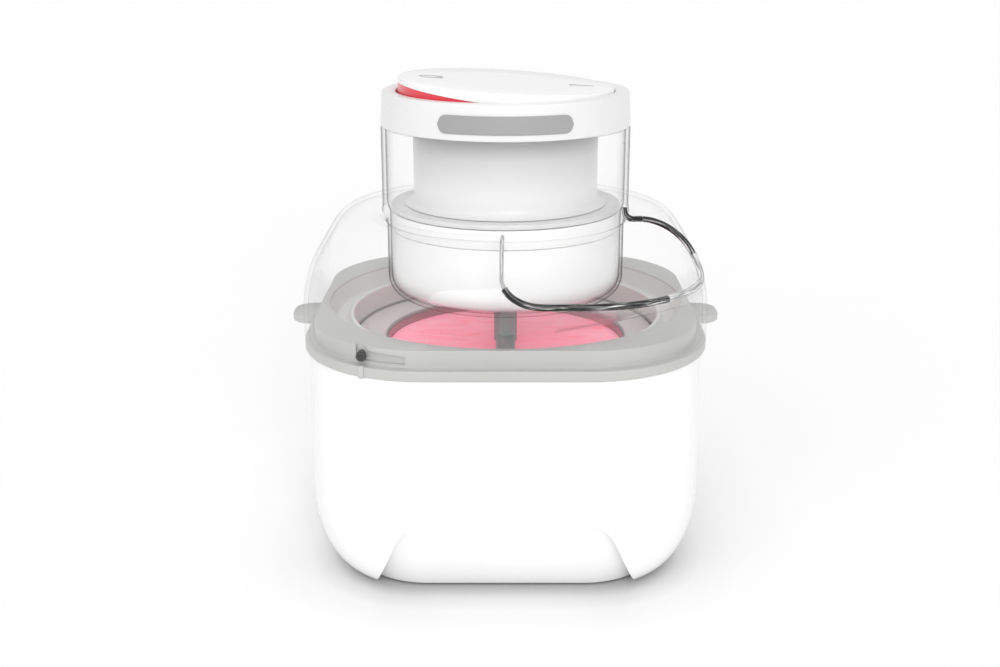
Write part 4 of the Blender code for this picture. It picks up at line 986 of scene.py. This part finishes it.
def dome_reach(angle, z):
    """How far out the middle of the dome's wall is at a height, in the direction of the angle."""
    inset = LID_WALL / 2
    if z <= DOME_START:
        return outline_distance(COLLAR_HALF - inset, COLLAR_CORNER - inset, angle)
    rise = min(1.0, (z - DOME_START) / (DOME_TOP - DOME_START - inset))
    turn = math.asin(rise)
    share = turn / (math.pi / 2)
    half = DOME_TOP_RADIUS + (COLLAR_HALF - DOME_TOP_RADIUS - inset) * math.cos(turn)
    centre = (COLLAR_HALF - COLLAR_CORNER) * (1 - share * share)
    return outline_distance(half, half - centre, angle)


def dome_point(angle, z):
    return polar(dome_reach(math.radians(angle), z), angle, z)


def up_to_neck(angle, start, steps):
    """Points from the dome at a height up over its shoulder to the neck, along one direction."""
    points = []
    top = DOME_TOP - LID_WALL / 2 - 0.0002
    for step in range(steps):
        share = step / steps
        points.append(dome_point(angle, start + (top - start) * math.sin(share * math.pi / 2)))
    points.append(polar(DOME_TOP_RADIUS, angle, top))
    points.append(polar(SHOULDER_RADIUS, angle, top - 0.0006))
    points.append(polar(NECK_RADIUS + 0.0010, angle, NECK_ROOT + 0.0012))
    return points


def smoothed(points, rounds=2):
    """The open path with its corners cut back, round after round."""
    while rounds:
        rounds -= 1
        out = [points[0]]
        for here, after in zip(points, points[1:]):
            out.append(here * 0.75 + after * 0.25)
            out.append(here * 0.25 + after * 0.75)
        out.append(points[-1])
        points = out
    return points


def tube_mesh(points, half, sides=12):
    """A rounded bar along a path, with the distance along it in U and the turn round it in V."""
    mesh = bmesh.new()
    layer = mesh.loops.layers.uv.new("along")
    rings = []
    along = [0.0]
    for before, after in zip(points, points[1:]):
        along.append(along[-1] + (after - before).length)
    for index, point in enumerate(points):
        ahead = points[min(index + 1, len(points) - 1)] - points[max(index - 1, 0)]
        ahead.normalize()
        outward = Vector((point.x, point.y, 0)).normalized()
        side = (outward - ahead * outward.dot(ahead)).normalized()
        up = ahead.cross(side)
        ring = []
        for step in range(sides):
            turn = 2 * math.pi * step / sides
            across = math.copysign(abs(math.cos(turn)) ** 0.7, math.cos(turn)) * half
            tall = math.copysign(abs(math.sin(turn)) ** 0.7, math.sin(turn)) * half
            ring.append(mesh.verts.new(point + side * across + up * tall))
        rings.append(ring)
    for index, (before, after) in enumerate(zip(rings, rings[1:])):
        for step in range(sides):
            other = (step + 1) % sides
            face = mesh.faces.new((before[step], before[other], after[other], after[step]))
            corners = ((index, step), (index, step + 1), (index + 1, step + 1), (index + 1, step))
            for loop, (row, column) in zip(face.loops, corners):
                loop[layer].uv = (along[row] * 40, column / sides * 2)
    cap_ends(mesh, rings)
    return mesh


def make_fill_rim():
    """The thick rounded rim that runs round the fill opening, from the neck and back to it."""
    edge = fill_edge(8)
    left = list(reversed(up_to_neck(edge[0][0], edge[0][1], 6)))
    left += [dome_point(angle, z + RIM_RISE) for angle, z in edge[1:3]]
    middle = [dome_point(angle, z + RIM_RISE) for angle, z in edge[2:-1] if angle < RIM_PALE]
    right = [dome_point(angle, z + RIM_RISE) for angle, z in edge[2:-1] if angle >= RIM_PALE - 2.6]
    back = up_to_neck(edge[-1][0], edge[-1][1], 14)
    back[-1].z += 0.0016
    back.append(Vector((*(back[-1].xy * 0.992), back[-1].z + 0.0034)))
    right += back[:2]
    # the rim's front and back get the dark painted reflections, its left and right the pale ones
    for name, path, finish, half in (
        ("left", left, PALE_EDGE_REFLECTIONS, 0.0009),
        ("front", middle, DARK_EDGE_REFLECTIONS, RIM_HALF),
        ("right", right, PALE_EDGE_REFLECTIONS, RIM_HALF),
        ("back", smoothed(back[1:], 1), DARK_EDGE_REFLECTIONS, RIM_HALF * 0.9),
    ):
        rim = tube_mesh(smoothed(path), half)
        place_piece("fill_rim_" + name, rim, [finish], "lid", sharp=60.0)


def make_chute():
    """The clear walls under the fill opening that lead down into the bowl."""
    steps = 40
    first = FILL_START + 0.3
    rows = []
    for step in range(steps + 1):
        angle = first + (CHUTE_END - first) * step / steps
        top = outline_distance(COLLAR_HALF - LID_WALL, COLLAR_CORNER - LID_WALL, math.radians(angle))
        corners = (
            (top + 0.0006, FILL_RIM - 0.0030),
            (CHUTE_RADIUS + 0.0016, CHUTE_LOW),
            (CHUTE_RADIUS, CHUTE_LOW),
            (top - 0.0018, FILL_RIM - 0.0012),
            (top + 0.0006, FILL_RIM - 0.0012),
        )
        rows.append([polar(radius, angle, z) for radius, z in corners])
    place_piece("chute_wall", solid_through(rows), [CLEAR], "lid", sharp=30.0)
    profile = []
    for step in range(13):
        z = DOME_START + 0.0375 * math.sin(step * math.pi / 24)
        profile.append((-dome_reach(-math.pi / 2, z), z))
    profile += [(-POT_RADIUS - 0.0036, DOME_TOP - 0.0030), (-POT_RADIUS, DOME_TOP - 0.0070)]
    profile += [(-POT_RADIUS, CHUTE_LOW), (-COLLAR_HALF + LID_WALL, CHUTE_LOW)]
    faces = (CHUTE_SIDE_X, CHUTE_SIDE_X + 0.0020)
    mesh = solid_through([[(x, *point) for point in profile] for x in faces])
    bmesh.ops.bevel(mesh, geom=mesh.edges, offset=0.0004, segments=2, affect="EDGES", profile=0.5)
    place_piece("chute_side", mesh, [CLEAR], "lid", sharp=30.0)


# ---------------------------------------------------------------- motor head
def place_head(name, profile, finish, node):
    place_piece(name, turned_mesh(profile), [finish], "head", [node], 50.0)


def make_band():
    profile = ring_profile(
        [
            (BAND_TOP_RADIUS, BAND_TOP),
            (BAND_RADIUS, BAND_LOW),
            (BAND_HOLE, BAND_LOW),
            (BAND_HOLE, BAND_LOW + HEAD_WALL),
            (BAND_RADIUS - 0.0040, BAND_LOW + HEAD_WALL),
            (BAND_RADIUS - 0.0040, BAND_TOP - 0.0045),
            (BAND_OPENING, BAND_TOP - 0.0030),
            (BAND_OPENING, BAND_TOP),
        ],
        0.0009,
    )
    place_head("band", profile, HEAD_WHITE, "head_band")


def make_tower():
    inner = TOWER_RADIUS - HEAD_WALL
    foot = arc(TOWER_RADIUS + 0.0042, TOWER_LOW + 0.0046, 0.0042, 0.0046, 180, 270, 8)
    profile = [(inner, TOWER_TOP), (TOWER_RADIUS, TOWER_TOP), *foot, (inner, TOWER_LOW)]
    # the tower's white carries painted shade towards its top
    place_head("tower", profile, TOWER_WHITE_PAINTED_SHADE, "motor_housing")


def make_disc():
    rim = [(DISC_RADIUS, DISC_TOP), (DISC_RADIUS, DISC_LOW), (DISC_HOLE, DISC_LOW), (DISC_HOLE, DISC_TOP)]
    place_head("disc", ring_profile(rim, 0.0006), DISC_GREY, "flange_disc")


def make_bell():
    inner = BELL_RADIUS - HEAD_WALL
    upper_high = high("bell_upper").z
    upper_low = low("bell_upper").z
    upper = ring_profile(
        [(BELL_RADIUS, upper_high), (BELL_RADIUS, upper_low), (inner, upper_low), (inner, upper_high)], 0.0004
    )
    place_head("upper_bell", upper, WHITE, "bell_upper")
    floor = BELL_LOW + HEAD_WALL
    centre = (BELL_RADIUS - BELL_FILLET, BELL_LOW + BELL_FILLET)
    inside = BELL_FILLET - HEAD_WALL
    lower = [(SHAFT_HOLE, BELL_LOW), *arc(*centre, BELL_FILLET, BELL_FILLET, -90, 0, 14)]
    lower += [(BELL_RADIUS, BELL_SEAM - 0.0004), (BELL_RADIUS - 0.0004, BELL_SEAM), (inner, BELL_SEAM)]
    lower += [*arc(*centre, inside, inside, 0, -90, 8), (SHAFT_HOLE, floor)]
    place_head("lower_bell", lower, WHITE, "bell_lower")


def make_badge():
    """The blank raised bar on the band's front."""
    lower = low("badge").z - 0.0020
    upper = high("badge").z
    half_high = (upper - lower) / 2
    lean = (BAND_RADIUS - BAND_TOP_RADIUS) / (BAND_TOP - BAND_LOW)
    rows = []
    steps = 60
    for step in range(steps + 1):
        along = -1 + 2 * step / steps
        from_end = (1 - abs(along)) * math.radians(BADGE_HALF_ANGLE) * BAND_RADIUS
        share = min(1.0, from_end / half_high)
        tall = half_high * math.sqrt(1 - (1 - share) ** 2) + 0.0002
        rising = [(0.0001, tall), (0.0006, tall), (0.0008, tall * 0.93)]
        row = []
        for proud, offset in [(proud, -reach) for proud, reach in rising] + rising[::-1]:
            z = (lower + upper) / 2 + offset
            row.append(polar(BAND_RADIUS - lean * (z - BAND_LOW) + proud, BADGE_HALF_ANGLE * along - 90, z))
        rows.append(row)
    badge = solid_through(rows)
    place_piece("blank_badge", badge, [BADGE_GREY], "head", ["badge"], 30.0)


# ---------------------------------------------------------------- rocker
def rocker_place():
    """From the rocker's own frame, whose origin is on its axis, to the rest position."""
    return Matrix.Translation((0, 0, ROCKER_PIVOT_Z)) @ Matrix.Rotation(ROCKER_TILT, 4, "Y")


def wedge_depth(x):
    return 0.0024 + 0.0585 * (x + ROCKER_RADIUS)


def wedge_rings(mesh, rows):
    """Rings from (radius, height) rows; a height of None follows the wedge under the cap."""
    top = ROCKER_TOP - ROCKER_PIVOT_Z
    loops = []
    for radius, level in rows:
        ring = []
        for x, y in outline(radius, radius, SIDES):
            z = top - wedge_depth(x) if level is None else top + level
            ring.append(mesh.verts.new((x, y, z)))
        loops.append(ring)
    return loops


def make_rocker():
    inner = ROCKER_RADIUS - HEAD_WALL
    mesh = bmesh.new()
    rows = [(0.006, -0.0003), (0.030, -0.00025), (ROCKER_RADIUS - 0.0012, 0.0)]
    rows += [(ROCKER_RADIUS - 0.0004, -0.0002), (ROCKER_RADIUS, -0.0008), (ROCKER_RADIUS, None)]
    rows += [(inner, None), (inner, -0.0018), (0.030, -0.0018)]
    loops = wedge_rings(mesh, rows)
    bridge(mesh, loops, False)
    cap_ends(mesh, loops)
    mesh.transform(rocker_place())
    place_piece("cap", mesh, [WHITE], "rocker", ["rocker_cap"], 35.0)

    mesh = bmesh.new()
    outer = ROCKER_RADIUS - 0.0002
    loops = wedge_rings(mesh, [(outer, None), (outer, -0.0100), (inner, -0.0100), (inner, None)])
    for loop in (loops[0], loops[3]):
        for vert in loop:
            vert.co.z -= 0.0001
    bridge(mesh, loops, True)
    skirt = helper("skirt_ring", mesh)
    trim = helper("skirt_trim", box_mesh((0.015, -0.07, -0.02), (0.07, 0.07, 0.02)))
    skirt_mesh = combined(skirt, [trim])
    skirt_mesh.transform(rocker_place())
    place_mesh("red_skirt", skirt_mesh, [RED], "rocker", ["rocker_skirt"], 35.0)
    make_marks()


def make_marks():
    """The rocker's 0 ring on the left and I bar on the right, printed on the cap."""
    top = ROCKER_TOP - ROCKER_PIVOT_Z
    mesh = bmesh.new()
    rows = []
    sunk, proud = -0.0002, 0.00006
    for inset, level in ((0, sunk), (0, proud), (0.0006, proud), (0.0006, sunk)):
        ring = []
        for step in range(SMALL_SIDES):
            angle = 2 * math.pi * step / SMALL_SIDES
            x = -MARK_AT + (0.0056 - inset) * math.cos(angle)
            ring.append(mesh.verts.new((x, (0.0040 - inset) * math.sin(angle), top + level)))
        rows.append(ring)
    bridge(mesh, rows, True)
    mesh.transform(rocker_place())
    place_piece("off_mark", mesh, [MARK_GREY], "rocker", sharp=30.0)
    lower = (MARK_AT - 0.0058, -0.0004, top + sunk)
    mesh = box_mesh(lower, (MARK_AT + 0.0058, 0.0004, top + proud))
    mesh.transform(rocker_place())
    place_piece("on_mark", mesh, [MARK_GREY], "rocker", sharp=30.0)


# ---------------------------------------------------------------- studio
def floor_white_painted_shadow():
    """White floor with a painted contact shadow that darkens it softly close round the foot of the machine.
    """
    made, tree, shader = new_material("floor_white_painted_shadow")
    set_inputs(shader, {"Roughness": 1.0, "Specular IOR Level": 0.0})
    foot = BODY_HALF - BODY_FILLET_WIDE - BODY_CORNER_CENTRE
    place = add(tree, "TexCoord")
    fold = add(tree, "VectorMath", operation="ABSOLUTE")
    inward = add(tree, "VectorMath", {1: (BODY_CORNER_CENTRE, BODY_CORNER_CENTRE, 0)}, "SUBTRACT")
    over = add(tree, "VectorMath", {1: (0, 0, 0)}, "MAXIMUM")
    length = add(tree, "VectorMath", operation="LENGTH")
    span = add_span(tree, foot, foot + 0.08)
    # painted contact shadow: the floor's colour by distance from the housing's foot
    painted_shadow_levels = ((0.0, 0.46), (0.06, 0.55), (0.16, 0.78), (0.30, 0.92), (0.55, 0.98), (1.0, 1.0))
    ramp = add_ramp(tree, *((position, grey(level)) for position, level in painted_shadow_levels))
    wire(
        tree,
        (place, "Object", fold, 0),
        (fold, 0, inward, 0),
        (inward, 0, over, 0),
        (over, 0, length, 0),
        (length, "Value", span, "Value"),
        (span, "Result", ramp, "Fac"),
        (ramp, "Color", shader, "Base Color"),
    )
    return made


def light_room(world):
    """White to the camera, and a little darker to the sides for everything that mirrors it."""
    world.use_nodes = True
    tree = world.node_tree
    room = tree.nodes["Background"]
    set_inputs(room, {"Strength": 0.86})
    place = add(tree, "TexCoord")
    split = add(tree, "SeparateXYZ")
    aside = add(tree, "Math", operation="ABSOLUTE")
    ramp = add_ramp(tree, (0.40, grey(1.0)), (1.0, grey(0.62)))
    plain = add(tree, "Background", {"Color": grey(1.0)})
    path = add(tree, "LightPath")
    mix = add(tree, "MixShader")
    wire(
        tree,
        (place, "Generated", split, 0),
        (split, "X", aside, 0),
        (aside, 0, ramp, "Fac"),
        (ramp, "Color", room, "Color"),
        (path, "Is Camera Ray", mix, 0),
        (room, 0, mix, 1),
        (plain, 0, mix, 2),
        (mix, 0, tree.nodes["World Output"], "Surface"),
    )


def make_studio():
    scene = bpy.context.scene
    scene.view_settings.view_transform = "Standard"
    scene.view_settings.look = "None"
    scene.cycles.transparent_max_bounces = 48
    scene.cycles.max_bounces = 16
    world = bpy.data.worlds.new("studio_world")
    scene.world = world
    light_room(world)
    mesh = bmesh.new()
    bmesh.ops.create_grid(mesh, x_segments=1, y_segments=1, size=8.0)
    data = bpy.data.meshes.new("floor")
    mesh.to_mesh(data)
    mesh.free()
    data.materials.append(floor_white_painted_shadow())
    object_of("floor", data)
    for name, tilt, turn, strength, spread in (
        ("key_sun", 46, -24, 0.42, 60),
        ("front_sun", 67, 8, 0.85, 26),
    ):
        lamp = bpy.data.lights.new(name, "SUN")
        lamp.energy = strength
        lamp.angle = math.radians(spread)
        obj = object_of(name, lamp)
        obj.location = (0, -1, 1)
        obj.rotation_euler = (math.radians(tilt), 0, math.radians(turn))


def make_camera():
    camera = bpy.data.cameras.new("camera")
    camera.sensor_width = 36.0
    camera.lens = 47.24
    camera.shift_x = -0.0055
    camera.clip_start = 0.01
    obj = object_of("camera", camera)
    obj.location = (0, -0.6172, 0.2916)
    obj.rotation_euler = (math.radians(90 - 17.26), 0, 0)
    bpy.context.scene.camera = obj


make_camera()
make_studio()
dress_nodes()
make_housing()
make_collar()
make_cup()
make_shell()
make_ice_cream()
make_paddle()
make_lid()
make_fill_rim()
make_chute()
make_studs()
make_band()
make_tower()
make_disc()
make_bell()
make_badge()
make_rocker()
